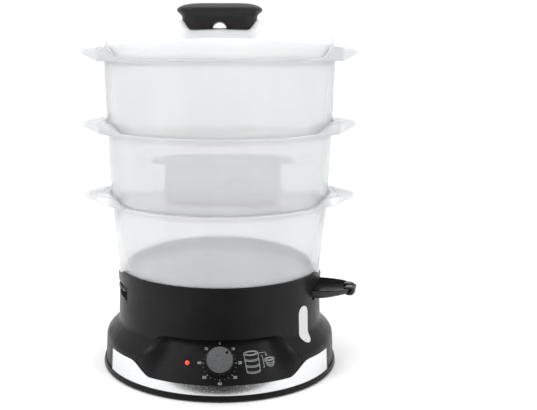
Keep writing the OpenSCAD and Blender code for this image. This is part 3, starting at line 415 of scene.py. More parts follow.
HOUSING_BLACK = MouldedPlastic("housing_black", (0.009, 0.009, 0.0095), 0.3, shine=0.12)
SIDE_BLACK = MouldedPlastic("side_black", (0.011, 0.011, 0.012), 0.36, 1100.0, 0.00005, shine=0.15)
PANEL_BLACK = MouldedPlastic("panel_black", (0.01, 0.01, 0.0105), 0.24, shine=0.16)
TANK_GREY = MouldedPlastic("tank_grey", (0.03, 0.03, 0.032), 0.4, shine=0.3)
GRIP_BLACK = MouldedPlastic("grip_black", (0.004, 0.004, 0.0045), 0.16, coat=0.15, shine=0.2)
HANDLE_BLACK = MouldedPlastic("handle_black", (0.02, 0.019, 0.0185), 0.34, shine=0.22)
KNOB_BLACK = MouldedPlastic("knob_black", (0.006, 0.006, 0.0065), 0.22, shine=0.25)
RING_WHITE = MouldedPlastic("ring_white", (0.8, 0.8, 0.77), 0.4)
TIMER_CREAM = MouldedPlastic("timer_cream", (0.68, 0.65, 0.57), 0.45)
CERAMIC = MouldedPlastic("ceramic_white", (0.78, 0.75, 0.68), 0.55)
WIRE_SHEATH = MouldedPlastic("wire_sheath", (0.24, 0.07, 0.05), 0.4)
FOOT_RUBBER = Rubber("foot_rubber", (0.02, 0.02, 0.02))
SEAL_RUBBER = Rubber("seal_rubber", (0.4, 0.1, 0.06))
BOWL_CLEAR = ClearPlastic("bowl_clear", (0.93, 0.94, 0.95), 0.72, 0.12, 1.12, grip_x=0.1285)
LID_CLEAR = ClearPlastic("lid_clear", (0.9, 0.91, 0.92), 0.45, 0.2, 1.08)
RICE_CLEAR = ClearPlastic("rice_clear", (0.9, 0.94, 0.905), 0.6, 0.1, 1.12)
TRAY_PALE = ClearPlastic("tray_pale", (0.96, 0.97, 0.98), 0.05, 0.2)
WINDOW_CLEAR = ClearPlastic("window_clear", (0.74, 0.75, 0.76), 0.2)
BAND_METAL = BrushedMetal("band_metal", (0.86, 0.87, 0.88), 0.2, Grain.ALONG_X)
KNOB_METAL = BrushedMetal("knob_metal", (0.56, 0.57, 0.58), 0.3, Grain.ALONG_Z)
PLATE_STEEL = BrushedMetal("plate_steel", (0.75, 0.75, 0.76), 0.25)
SCREW_STEEL = BrushedMetal("screw_steel", (0.6, 0.61, 0.62), 0.35)
CAST_ALUMINIUM = BrushedMetal("cast_aluminium", (0.62, 0.63, 0.64), 0.45, lines=600.0)
GEAR_BRASS = BrushedMetal("gear_brass", (0.78, 0.58, 0.26), 0.3)
PILOT_RED = GlowingLens("pilot_red", (1.0, 0.045, 0.02), 1.1)
LAMP_GLOW = GlowingLens("lamp_glow", (1.0, 0.5, 0.25), 1.0)
DIAL_INK = PrintedInk("dial_ink", (0.4, 0.41, 0.42))

FINISHES: dict[Finish, list[str]] = {
    HOUSING_BLACK: ["base_shell", "bottom_cover"],
    SIDE_BLACK: ["side_panel_left", "side_panel_right"],
    PANEL_BLACK: ["control_panel"],
    TANK_GREY: ["water_tank", "chute_left", "chute_right", "filler_left", "filler_right"],
    GRIP_BLACK: ["filler_grip_left", "filler_grip_right"],
    TRAY_PALE: ["juice_tray", "juice_dish", "steam_chimney"],
    HANDLE_BLACK: ["lid_handle"],
    KNOB_BLACK: ["knob_skirt", "knob_pointer"],
    RING_WHITE: ["turbo_ring"],
    TIMER_CREAM: ["timer_case", "timer_cover"],
    CERAMIC: ["thermostat", "thermal_fuse", "terminal_block"],
    WIRE_SHEATH: ["wiring"],
    FOOT_RUBBER: ["rubber_feet", "cord_gland"],
    SEAL_RUBBER: ["heater_seal"],
    BOWL_CLEAR: ["lower_bowl", "middle_bowl", "upper_bowl"],
    LID_CLEAR: ["lid"],
    RICE_CLEAR: ["rice_bowl"],
    WINDOW_CLEAR: ["level_window", "level_duct"],
    BAND_METAL: ["chrome_band"],
    KNOB_METAL: ["knob_cap"],
    PLATE_STEEL: ["heating_plate", "heater_clamp"],
    SCREW_STEEL: [
        "cover_screws", "clamp_screws", "handle_screws",
        "timer_nut", "timer_bell", "timer_shaft", "knob_clip",
    ],
    CAST_ALUMINIUM: ["heating_element"],
    GEAR_BRASS: ["drive_wheel", "timer_pinion"],
    PILOT_RED: ["pilot_lens"],
    LAMP_GLOW: ["pilot_lamp"],
}


class Finisher:
    """Builds each finish once and hands out its material."""

    def __init__(self) -> None:
        """Starts with no material built."""
        self._built: dict[str, bpy.types.Material] = {}

    def material(self, finish: Finish) -> bpy.types.Material:
        """Returns the finish's material."""
        if finish.name not in self._built:
            self._built[finish.name] = finish.build()
        return self._built[finish.name]

    def coat(self, piece: bpy.types.Object, finish: Finish) -> bpy.types.Object:
        """Gives a piece one finish all over.

        Args:
            piece: the piece.
            finish: its finish.

        Returns:
            The piece.
        """
        piece.data.materials.clear()
        piece.data.materials.append(self.material(finish))
        return piece

    def dress_nodes(self) -> None:
        """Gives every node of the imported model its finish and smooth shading."""
        for finish, names in FINISHES.items():
            for name in names:
                smooth_node(self.coat(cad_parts[name], finish))


def smooth_node(node: bpy.types.Object, sharp: float = 27.0) -> None:
    """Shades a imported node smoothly, with its edges kept sharp.

    Args:
        node: the node's object.
        sharp: angle in degrees from which an edge stays sharp.
    """
    weld = node.modifiers.new("join", "WELD")
    weld.merge_threshold = WELD_M
    split = node.modifiers.new("edges", "EDGE_SPLIT")
    split.split_angle = math.radians(sharp)
    node.data.polygons.foreach_set("use_smooth", [True] * len(node.data.polygons))
    weighted = node.modifiers.new("normals", "WEIGHTED_NORMAL")
    weighted.keep_sharp = True


# ---------------------------------------------------------------- mesh helpers


def finished_piece(name: str, mesh: bmesh.types.BMesh, body: str, smooth: bool = True) -> bpy.types.Object:
    """Turns a bmesh into a piece that rides on a body.

    Args:
        name: the piece's name.
        mesh: its shape in millimetres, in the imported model's frame. It is freed.
        body: the body that it moves with.
        smooth: whether its faces are shaded smoothly.

    Returns:
        The new object.
    """
    data = bpy.data.meshes.new(name)
    bmesh.ops.scale(mesh, vec=(MM, MM, MM), verts=mesh.verts)
    for face in mesh.faces:
        face.smooth = smooth
    mesh.to_mesh(data)
    mesh.free()
    piece = bpy.data.objects.new(name, data)
    bpy.context.scene.collection.objects.link(piece)
    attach(piece, body)
    LOG.info("%s: %d faces on %s", name, len(data.polygons), body)
    return piece


def turned(points: Sequence[Point], steps: int, closed: bool = True) -> bmesh.types.BMesh:
    """Turns a profile about the Z axis.

    Args:
        points: the profile's radii and heights.
        steps: steps of the full turn.
        closed: whether the profile's last point joins its first.

    Returns:
        The turned skin, with its faces pointing outwards.
    """
    mesh = bmesh.new()
    verts = [mesh.verts.new((r, 0.0, z)) for r, z in points]
    pairs = list(zip(verts, verts[1:])) + ([(verts[-1], verts[0])] if closed else [])
    edges = [mesh.edges.new(pair) for pair in pairs]
    bmesh.ops.spin(
        mesh, geom=verts + edges, cent=(0, 0, 0), axis=UP, angle=2 * math.pi, steps=steps, use_merge=True
    )
    bmesh.ops.remove_doubles(mesh, verts=mesh.verts, dist=WELD_MM)
    bmesh.ops.recalc_face_normals(mesh, faces=mesh.faces)
    return mesh


def reshape(
    mesh: bmesh.types.BMesh, points: Sequence[Point], move: Callable[[int, Vector], Vector]
) -> None:
    """Moves each vertex of a turned mesh by the profile point that it came from.

    Args:
        mesh: the turned mesh.
        points: the profile's radii and heights.
        move: gives the new place for a point's index and its old place.
    """
    tree = KDTree(len(points))
    for index, (r, z) in enumerate(points):
        tree.insert((r, 0.0, z), index)
    tree.balance()
    for vert in mesh.verts:
        index = tree.find((math.hypot(vert.co.x, vert.co.y), 0.0, vert.co.z))[1]
        vert.co = move(index, vert.co)


def stacked(levels: Sequence[Level], corner: float, segments: int = 12) -> bmesh.types.BMesh:
    """Builds a closed form from rounded rectangles, each above, inside or outside the last.

    Args:
        levels: height, width and depth of each rectangle.
        corner: radius of the first rectangle's corners.
        segments: segments of each corner.

    Returns:
        The form.
    """
    mesh = bmesh.new()
    height, width, depth = levels[0]
    bmesh.ops.create_grid(mesh, x_segments=1, y_segments=1, size=0.5)
    bmesh.ops.scale(mesh, vec=(width, depth, 1.0), verts=mesh.verts)
    bmesh.ops.translate(mesh, vec=(0.0, 0.0, height), verts=mesh.verts)
    bmesh.ops.bevel(
        mesh,
        geom=list(mesh.verts),
        offset=corner,
        affect="VERTICES",
        segments=segments,
        profile=0.5,
        material=-1,
    )
    loop = list(mesh.faces)[0].edges[:]
    for (z0, w0, d0), (z1, w1, d1) in zip(levels, levels[1:]):
        grown = bmesh.ops.extrude_edge_only(mesh, edges=loop)["geom"]
        verts = [item for item in grown if isinstance(item, bmesh.types.BMVert)]
        loop = [item for item in grown if isinstance(item, bmesh.types.BMEdge)]
        bmesh.ops.scale(mesh, vec=(w1 / w0, d1 / d0, 1.0), verts=verts)
        bmesh.ops.translate(mesh, vec=(0.0, 0.0, z1 - z0), verts=verts)
    bmesh.ops.contextual_create(mesh, geom=loop)
    bmesh.ops.recalc_face_normals(mesh, faces=mesh.faces)
    return mesh


def rod(radius: float, length: float, segments: int) -> bmesh.types.BMesh:
    """Makes an upright rod around the origin.

    Args:
        radius: its radius, in millimetres.
        length: its length.
        segments: sides of its round.

    Returns:
        The rod.
    """
    mesh = bmesh.new()
    bmesh.ops.create_cone(
        mesh, segments=segments, radius1=radius, radius2=radius, depth=length, cap_ends=True
    )
    return mesh


def carve(piece: bpy.types.Object, cutter: bmesh.types.BMesh) -> None:
    """Cuts a shape out of a piece.

    Args:
        piece: the piece to cut.
        cutter: the shape that is taken away, in millimetres. It is freed.
    """
    bmesh.ops.scale(cutter, vec=(MM, MM, MM), verts=cutter.verts)
    data = bpy.data.meshes.new("cutter")
    cutter.to_mesh(data)
    cutter.free()
    tool = bpy.data.objects.new("cutter", data)
    bpy.context.scene.collection.objects.link(tool)
    cut = piece.modifiers.new("cut", "BOOLEAN")
    cut.object = tool
    cut.solver = "EXACT"
    settle(piece)
    bpy.data.objects.remove(tool)


def settle(piece: bpy.types.Object) -> None:
    """Applies a piece's modifiers to its mesh.

    Args:
        piece: the piece.
    """
    graph = bpy.context.evaluated_depsgraph_get()
    data = bpy.data.meshes.new_from_object(piece.evaluated_get(graph), depsgraph=graph)
    piece.modifiers.clear()
    piece.data = data


def sharpen(piece: bpy.types.Object, angle: float = SHARP_ANGLE) -> bpy.types.Object:
    """Keeps a piece's edges sharp, and its other faces smooth.

    Args:
        piece: the piece.
        angle: angle in degrees from which an edge stays sharp.

    Returns:
        The piece.
    """
    piece.data.shade_smooth()
    piece.data.set_sharp_from_angle(angle=math.radians(angle))
    return piece


def ease(value: float) -> float:
    """Returns a smooth step from 0 to 1."""
    value = min(1.0, max(0.0, value))
    return value * value * (3.0 - 2.0 * value)


# ---------------------------------------------------------------- bowls


class Line(Enum):
    """Lines that the heights of a grip's points are counted from."""

    RIM = "rim"
    TOP = "top"
    LOW = "low"


GripPoint = tuple[float, Line, float]


@dataclass
class Bowl:
    """A steaming bowl: wall, rim that flows out into two grips, and slotted floor.

    A grip is full within grip_full degrees of its axis and gone at grip_gone. The plan's angles are
    drawn towards the grips by the power crowding, which gives their tips more vertices.
    """

    node: str
    body: str
    foot_z: float
    foot_r: float
    step_z: float
    step_r: float
    floor_z: float
    rim_z: float
    seat_r: float
    grip_rise: float
    wall: float = 2.0
    rim_out: float = 4.6
    rim_t: float = 3.0
    grip_h: float = 5.0
    grip_slope: float = 2.0
    tip_centre: float = 130.0
    tip_r: float = 22.0
    grip_full: float = 24.0
    grip_gone: float = 38.0
    top_run: float = 1.12
    low_drop: float = 0.5
    crowding: float = 1.6
    floor_slack: float = 0.02
    floor_sharp: float = 35.0
    steps: int = 240

    def outline(self) -> tuple[list[Point], list[GripPoint | None]]:
        """Lists the bowl's profile.

        A grip's point has its radius, which is counted from the plan's outline where it is not
        positive, the line that its height is counted from, and that height.

        Returns:
            The profile where there is no grip, and the matching points along a grip.
        """
        t, r, z, out = self.wall, self.seat_r, self.rim_z, self.rim_out
        base = z - self.rim_t
        pairs = [
            ((self.foot_r - t, self.foot_z + 0.4), None),
            ((self.foot_r - t + 0.4, self.foot_z), None),
            ((self.foot_r - 0.4, self.foot_z), None),
            ((self.foot_r, self.foot_z + 0.4), None),
            ((self.foot_r, self.step_z), None),
            ((self.step_r - 0.2, self.step_z + 0.01), None),
            ((self.step_r + 0.1, self.step_z + 0.4), None),
            ((r - 0.1, base - 0.8), None),
            ((r + 0.2, base), None),
            ((r + 0.6, base), (r + out - 2.2, Line.LOW, 0.3)),
            ((r + 1.1, base), (r + out - 0.6, Line.LOW, 0.5)),
            ((r + 1.6, base), (r + out, Line.TOP, -t - 0.6)),
            ((r + 2.1, base), (r + out + 0.6, Line.TOP, -t)),
            ((r + 2.6, base), (-t - 1.4, Line.TOP, -t)),
            ((r + 3.0, base), (-t - 0.3, Line.TOP, -t - 0.7)),
            ((r + 3.4, base), (-t + 0.1, Line.LOW, 0.6)),
            ((r + out - 0.9, base), (-t + 0.6, Line.LOW, 0.0)),
            ((r + out - 0.3, base + 0.3), (-0.7, Line.LOW, 0.0)),
            ((r + out, base + 0.9), (-0.1, Line.LOW, 0.7)),
            ((r + out, z - 0.9), (0.0, Line.TOP, -2.4)),
            ((r + out - 0.3, z - 0.3), (-0.5, Line.TOP, -1.2)),
            ((r + out - 0.9, z), (-1.5, Line.TOP, -0.4)),
            ((r + out - 1.2, z), (-3.2, Line.TOP, 0.0)),
            ((r + 3.0, z), (r + 3.5, Line.TOP, 0.0)),
            ((r + 2.6, z), (r + 2.6, Line.TOP, -0.4)),
            ((r + 2.3, z), (r + 2.2, Line.TOP, -1.2)),
            ((r + 2.0, z), (r + 2.2, Line.RIM, 0.3)),
            ((r + 1.6, z), (r + 1.8, Line.RIM, 0.0)),
            ((r - t + 0.5, z), None),
            ((r - t, z - 0.5), None),
            ((self.step_r - t, self.step_z + t), None),
            ((self.foot_r - t, self.step_z + t - 0.01), None),
            ((self.foot_r - t, self.floor_z + t), None),
        ]
        return [plain for plain, _ in pairs], [grip for _, grip in pairs]

    def line(self, which: Line, x: float) -> float:
        """Finds the height of one of a grip's lines.

        Args:
            which: the line.
            x: distance from the bowl's middle, along the grip's axis.

        Returns:
            The height.
        """
        root = self.seat_r + self.rim_out
        tip = self.tip_centre + self.tip_r
        top = self.rim_z + self.grip_rise
        low = self.rim_z - self.rim_t - self.low_drop
        share = min(1.0, max(0.0, (x - root) / (tip - root)))
        if which is Line.RIM:
            return self.rim_z
        if which is Line.TOP:
            return top - self.grip_slope * min(1.0, share * self.top_run)
        return low + (top - self.grip_slope - self.grip_h - low) * share

    def plan(self, angle: float, reach: float) -> float:
        """Returns the plan outline's radius at an angle from the grip's axis.

        Args:
            angle: angle in radians, from 0 to a quarter turn.
            reach: radius of the rim.

        Returns:
            The radius, which runs straight from the rim to the round tip.
        """
        lean = math.acos((reach - self.tip_r) / self.tip_centre)
        tip_y = self.tip_r * math.sin(lean)
        tip_x = self.tip_centre + self.tip_r * math.cos(lean)
        if angle < math.atan2(tip_y, tip_x):
            side = self.tip_centre * math.sin(angle)
            return self.tip_centre * math.cos(angle) + math.sqrt(self.tip_r**2 - side**2)
        return reach / math.cos(max(0.0, lean - angle))

    def build(self, finisher: Finisher, finish: Finish) -> None:
        """Builds the wall with its rim and grips, and the floor.

        Args:
            finisher: what dresses them.
            finish: their finish.
        """
        plain, grip = self.outline()
        mesh = turned(plain, self.steps)
        reach = self.seat_r + self.rim_out

        def shape(index: int, place: Vector) -> Vector:
            """Places a vertex of the turned wall.

            Args:
                index: the profile point that it came from.
                place: its old place.

            Returns:
                Its new place.
            """
            quarter = math.atan2(abs(place.y), abs(place.x))
            angle = (quarter / (math.pi / 2)) ** self.crowding * (math.pi / 2)
            r, z = plain[index]
            if grip[index]:
                fade = math.radians(self.grip_gone - self.grip_full)
                share = ease((math.radians(self.grip_gone) - angle) / fade)
                grip_r, line, rise = grip[index]
                if grip_r <= 0.0:
                    grip_r += self.plan(angle, reach)
                grip_z = self.line(line, grip_r * math.cos(angle)) + rise
                r, z = r + (grip_r - r) * share, z + (grip_z - z) * share
            x, y = r * math.cos(angle), r * math.sin(angle)
            return Vector((math.copysign(x, place.x), math.copysign(y, place.y), z))

        reshape(mesh, plain, shape)
        bmesh.ops.remove_doubles(mesh, verts=mesh.verts, dist=WELD_MM)
        wall = finisher.coat(finished_piece(self.node + "_wall", mesh, self.body), finish)
        sharpen(wall)
        floor = finisher.coat(self.floor(), finish)
        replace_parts(wall, self.node)
        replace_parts(floor, self.node)

    def floor(self) -> bpy.types.Object:
        """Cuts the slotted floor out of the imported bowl.

        Returns:
            The floor.
        """
        mesh = bmesh.new()
        mesh.from_mesh(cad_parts[self.node].data)
        bmesh.ops.remove_doubles(mesh, verts=mesh.verts, dist=WELD_M)
        slack = self.floor_slack
        low, high = (self.floor_z - slack) * MM, (self.floor_z + self.wall + slack) * MM
        reach = (self.foot_r - self.wall + slack) * MM
        other = [
            face
            for face in mesh.faces
            if any(not low < v.co.z < high or math.hypot(v.co.x, v.co.y) > reach for v in face.verts)
        ]
        bmesh.ops.delete(mesh, geom=other, context="FACES")
        bmesh.ops.dissolve_limit(
            mesh,
            angle_limit=math.radians(0.5),
            verts=mesh.verts,
            edges=mesh.edges,
            use_dissolve_boundaries=False,
        )
        bmesh.ops.scale(mesh, vec=(1 / MM,) * 3, verts=mesh.verts)
        return sharpen(finished_piece(self.node + "_floor", mesh, self.body), self.floor_sharp)


@dataclass
class RiceBowl:
    """The rice bowl: an oblong dish with a flange."""

    width: float = 130.0
    depth: float = 90.0
    height: float = 46.0
    corner: float = 36.0
    flange_x: float = 14.0
    flange_y: float = 4.0
    wall: float = 1.8
    x: float = 3.5
    z: float = 192.0
    foot_inset: float = 7.0
    sharp: float = 50.0

    def levels(self) -> list[Level]:
        """Lists the dish's outlines, from the foot up, over the flange and down the inside.

        Returns:
            The outlines.
        """
        h, t = self.height, self.wall
        outside = ((0.0, -16.0), (0.0, -10.0), (0.7, -6.0), (2.2, -3.0), (5.0, -1.0), (9.0, 0.0))
        under = ((h - 3.2, 0.0), (h - 2.5, 1.2), (h - 2.4, 3.0))
        flange = ((h - 2.4, -1.2), (h - 2.0, -0.3), (h - 1.2, 0.0), (h - 0.4, -0.3), (h, -1.2))
        lip = ((h, 1.0 + 2 * t), (h - 0.6, 0.6), (h - 1.6, 0.0))
        inside = ((9.0, 0.0), (5.8, -1.2), (3.4, -4.0), (2.2, -8.0), (t, -16.0))
        return [
            (z, self.width + wide + grow, self.depth + deep + grow)
            for wide, deep, line in (
                (0.0, 0.0, outside + under),
                (2 * self.flange_x, 2 * self.flange_y, flange),
                (-2 * t, -2 * t, lip + inside),
            )
            for z, grow in line
        ]

    def build(self, finisher: Finisher, finish: Finish) -> None:
        """Builds the dish.

        Args:
            finisher: what dresses it.
            finish: its finish.
        """
        mesh = stacked(self.levels(), self.corner - self.foot_inset)
        bmesh.ops.translate(mesh, vec=(self.x, 0.0, self.z), verts=mesh.verts)
        piece = finisher.coat(finished_piece("rice_bowl_dish", mesh, "rice_insert"), finish)
        sharpen(piece, self.sharp)
        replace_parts(piece, "rice_bowl")


# ---------------------------------------------------------------- lid


@dataclass
class Lid:
    """The domed lid with its two hollow facets, its steam holes and its handle.

    A facet rises to a ridge at each end of the handle: ridge_x and ridge_y hold where the ridge
    starts and how long it takes to rise, across and along the lid.
    """

    seat_z: float = 347.0
    radius: float = 126.2
    top: float = 386.6
    shoulder: float = 18.0
    crown: float = 125.0
    turn: float = 62.0
    thick: float = 2.0
    skirt_r: float = 124.078
    skirt_d: float = 6.0
    front_z: float = 366.0
    front_y: float = 124.0
    slope: float = 0.105
    crown_r: float = 540.0
    ridge: float = 15.0
    ridge_x: Point = (30.0, 14.0)
    ridge_y: Point = (44.0, 32.0)
    facet_drop: float = 7.2
    hole_r: float = 3.0
    hole_y: float = 8.0
    soft: float = 1.4
    handle_top: float = 405.0
    arch_r: float = 7.6
    arch_drop: float = 2.0
    handle_corner: float = 17.6
    steps: int = 240

    def dome(self, inset: float) -> list[Point]:
        """Draws the dome's line from its edge to its middle.

        Args:
            inset: how far the line is drawn in from the outer skin.

        Returns:
            The line's radii and heights.
        """
        sweep = math.radians(self.turn)
        between = self.crown - self.shoulder
        edge_x = self.radius - self.shoulder
        edge_z = self.top - self.crown + between * math.sin(sweep)
        crown_x = edge_x - between * math.cos(sweep)
        crown_z = self.top - self.crown
        small, large = self.shoulder - inset, self.crown - inset
        edge_turns = [sweep * i / 35 for i in range(36)]
        crown_turns = [sweep + (math.pi / 2 - sweep) * i / 24 for i in range(1, 25)]
        line = [(edge_x + small * math.cos(a), edge_z + small * math.sin(a)) for a in edge_turns]
        line += [(crown_x + large * math.cos(a), crown_z + large * math.sin(a)) for a in crown_turns]
        return line + [(crown_x * (1 - i / 16), self.top - inset) for i in range(1, 17)]

    def facet(self, x: float, y: float) -> float:
        """Finds the height of the front and rear facets, which slope down to the lid's edge.

        Args:
            x: place across the lid.
            y: place along it, from front to rear.

        Returns:
            The height.
        """
        plain = self.front_z + (self.front_y - abs(y)) * self.slope - x * x / (2 * self.crown_r)
        across = ease((abs(x) - self.ridge_x[0]) / self.ridge_x[1])
        along = ease((self.ridge_y[0] - abs(y)) / self.ridge_y[1])
        return plain + self.ridge * along * across

    def lowered(self, z: float, limit: float) -> float:
        """Returns the lower of two heights, with a soft ridge between them."""
        step = max(self.soft - abs(z - limit), 0.0) / self.soft
        return min(z, limit) - step * step * self.soft / 4

    def build(self, finisher: Finisher, finish: Finish) -> None:
        """Builds the dome with its skirt and its handle.

        Args:
            finisher: what dresses them.
            finish: the dome's finish.
        """
        outer = self.dome(0.0)
        inner = self.dome(self.thick)
        seat, foot = self.seat_z, self.seat_z - self.skirt_d
        skirt_in = self.skirt_r - self.thick
        edge = [
            (self.radius, seat + 0.4),
            (self.radius - 0.4, seat),
            (self.skirt_r, seat - 0.01),
            (self.skirt_r, foot + 0.5),
            (self.skirt_r - 0.5, foot),
            (skirt_in + 0.5, foot - 0.01),
            (skirt_in, foot + 0.51),
            (skirt_in, seat + 2.0),
        ]
        line = outer[::-1] + edge + inner
        mesh = turned(line, self.steps, closed=False)
        count = len(outer) + len(edge)

        def shape(index: int, place: Vector) -> Vector:
            """Places a vertex of the turned lid.

            Args:
                index: the profile point that it came from.
                place: its old place.

            Returns:
                Its new place.
            """
            inside = index >= count
            if len(outer) <= index < count:
                return place
            limit = self.facet(place.x, place.y) - (self.thick if inside else 0.0)
            return Vector((place.x, place.y, self.lowered(place.z, limit)))

        reshape(mesh, line, shape)
        dome = finisher.coat(finished_piece("lid_dome", mesh, "cover_lid"), finish)
        sharpen(dome)
        for y in (-self.hole_y, self.hole_y):
            hole = rod(self.hole_r, 30.0, 32)
            bmesh.ops.translate(hole, vec=(0.0, y, self.top - self.facet_drop), verts=hole.verts)
            carve(dome, hole)
        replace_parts(dome, "lid")
        self.handle(finisher)

    def handle(self, finisher: Finisher) -> None:
        """Builds the handle, with the steam arch through its neck.

        Args:
            finisher: what dresses it.
        """
        top = self.handle_top
        neck = [(27.8, 82.0, 42.0), (15.0, 82.0, 42.0), (13.8, 82.3, 42.3), (12.4, 84.0, 43.4)]
        side = [
            (9.6, 90.2, 48.0), (8.6, 92.0, 49.4), (7.8, 92.8, 49.9), (6.6, 93.0, 50.0), (5.6, 92.3, 49.3),
            (4.4, 89.6, 46.8), (3.0, 85.2, 42.8),
        ]
        crown = [
            (2.2, 81.6, 39.9), (1.4, 76.4, 36.4), (0.7, 70.0, 32.0), (0.2, 63.0, 27.6), (0.0, 56.0, 23.0),
        ]
        levels = [(top - drop, width, depth) for drop, width, depth in neck + side + crown]
        mesh = stacked(levels, self.handle_corner, 16)
        piece = finisher.coat(finished_piece("lid_handle_grip", mesh, "cover_lid"), HANDLE_BLACK)
        arch = rod(self.arch_r, 80.0, 64)
        lying = Matrix.Rotation(math.pi / 2, 3, "X")
        bmesh.ops.rotate(arch, cent=(0, 0, 0), matrix=lying, verts=arch.verts)
        height = self.top - self.facet_drop - self.arch_drop
        bmesh.ops.translate(arch, vec=(0.0, 0.0, height), verts=arch.verts)
        carve(piece, arch)
        sharpen(piece)
        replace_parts(piece, "lid_handle")


# ---------------------------------------------------------------- control panel


OUTSIDE = 0.2  # a distance from the middle, in metres, that lies outside the base


@dataclass
class PanelPrint:
    """What is printed on the control panel: dial marks, numbers and a small picture.

    Marks hold their inner and outer radius and their line's width.
    """

    radius: float = 121.0
    dial_z: float = 37.4
    tilt: float = 32.12
    lift: float = 0.06
    ink_t: float = 0.05
    long_mark: tuple[float, float, float] = (16.6, 18.0, 0.55)
    short_mark: tuple[float, float, float] = (16.8, 17.5, 0.4)
    mark_step: float = 45.0
    figure_size: float = 4.0
    figure_reach: Point = (21.2, 20.9)
    picture_line: float = 0.42
    bowls_x: float = 34.5
    nested_x: float = 54.2

    def place(self, panel: BVHTree, u: float, v: float, up: float) -> Vector:
        """Finds the place on the panel of a flat drawing's point.

        Args:
            panel: the control panel's surface, in metres.
            u: offset to the right of the dial's centre.
            v: offset up the panel.
            up: height above the panel.

        Returns:
            The place, in millimetres.
        """
        lean = math.radians(self.tilt)
        az = u / self.radius
        z = self.dial_z + v * math.cos(lean)
        start = Vector((OUTSIDE * math.sin(az), -OUTSIDE * math.cos(az), z * MM))
        spot, normal, _, _ = panel.ray_cast(start, Vector((-math.sin(az), math.cos(az), 0.0)))
        return (spot + normal * up * MM) / MM

    def lay(
        self, name: str, drawing: bpy.types.Curve, finisher: Finisher, at: Point = (0.0, 0.0)
    ) -> None:
        """Lays a flat drawing on the panel.

        Args:
            name: the piece's name.
            drawing: a flat curve or text, in millimetres.
            finisher: what dresses it.
            at: where its middle goes, from the dial's centre.
        """
        holder = bpy.data.objects.new("drawing", drawing)
        bpy.context.scene.collection.objects.link(holder)
        graph = bpy.context.evaluated_depsgraph_get()
        flat = bpy.data.meshes.new_from_object(holder.evaluated_get(graph), depsgraph=graph)
        bpy.data.objects.remove(holder)
        mesh = bmesh.new()
        mesh.from_mesh(flat)
        panel = BVHTree.FromObject(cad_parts["control_panel"], graph)
        low = min(v.co.z for v in mesh.verts)
        high = max(v.co.z for v in mesh.verts)
        for vert in mesh.verts:
            up = self.lift + self.ink_t * (vert.co.z - low) / max(high - low, 0.001)
            vert.co = self.place(panel, vert.co.x + at[0], vert.co.y + at[1], up)
        finisher.coat(finished_piece(name, mesh, "base", smooth=False), DIAL_INK)

    def figure(self, number: int, at: Point, finisher: Finisher) -> None:
        """Prints a number of minutes.

        Args:
            number: the number.
            at: where its middle goes, from the dial's centre.
            finisher: what dresses it.
        """
        name = "dial_figure_%d" % number
        font = bpy.data.curves.new(name, "FONT")
        font.body = str(number)
        font.size = self.figure_size
        font.align_x = "CENTER"
        font.align_y = "CENTER"
        font.extrude = 0.02
        font.offset = 0.06
        self.lay(name, font, finisher, at)

    def strokes(
        self, name: str, lines: Sequence[Sequence[Point]], width: float, finisher: Finisher
    ) -> None:
        """Prints lines of one width.

        Args:
            name: the piece's name.
            lines: the lines' points, from the dial's centre.
            width: their width.
            finisher: what dresses them.
        """
        drawing = bpy.data.curves.new(name, "CURVE")
        drawing.dimensions = "3D"
        drawing.bevel_depth = width / 2
        drawing.bevel_resolution = 1
        drawing.use_fill_caps = True
        for line in lines:
            spline = drawing.splines.new("POLY")
            spline.points.add(len(line) - 1)
            for point, (x, y) in zip(spline.points, line):
                point.co = (x, y, 0.0, 1.0)
        self.lay(name, drawing, finisher)

    def mark(self, angle: float, size: tuple[float, float, float]) -> list[Point]:
        """Draws a dial mark.

        Args:
            angle: its angle in degrees from the top, to the right.
            size: its inner and outer radius and its width.

        Returns:
            Its line.
        """
        side, up = math.sin(math.radians(angle)), math.cos(math.radians(angle))
        return [(reach * side, reach * up) for reach in size[:2]]

    def build(self, finisher: Finisher) -> None:
        """Prints all of it.

        Args:
            finisher: what dresses it.
        """
        steps = [self.mark_step * i for i in range(8)]
        third = self.mark_step / 3
        for i, angle in enumerate(steps):
            a = math.radians(angle)
            at = (self.figure_reach[0] * math.sin(a), self.figure_reach[1] * math.cos(a))
            self.figure(10 * i, at, finisher)
        long_marks = [self.mark(angle, self.long_mark) for angle in steps]
        short_marks = [
            self.mark(angle + part * third, self.short_mark) for angle in steps[:-1] for part in (1, 2)
        ]
        self.strokes("dial_long_marks", long_marks, self.long_mark[2], finisher)
        self.strokes("dial_short_marks", short_marks, self.short_mark[2], finisher)
        self.strokes("steam_picture", self.picture(), self.picture_line, finisher)

    def arc(self, centre: Point, size: Point, start: float, end: float) -> list[Point]:
        """Draws an arc of an ellipse.

        Args:
            centre: its centre.
            size: its half width and half height.
            start: where it starts, in degrees from the right.
            end: where it ends.

        Returns:
            Its points.
        """
        turns = [math.radians(start + (end - start) * i / 18) for i in range(19)]
        return [(centre[0] + size[0] * math.cos(a), centre[1] + size[1] * math.sin(a)) for a in turns]

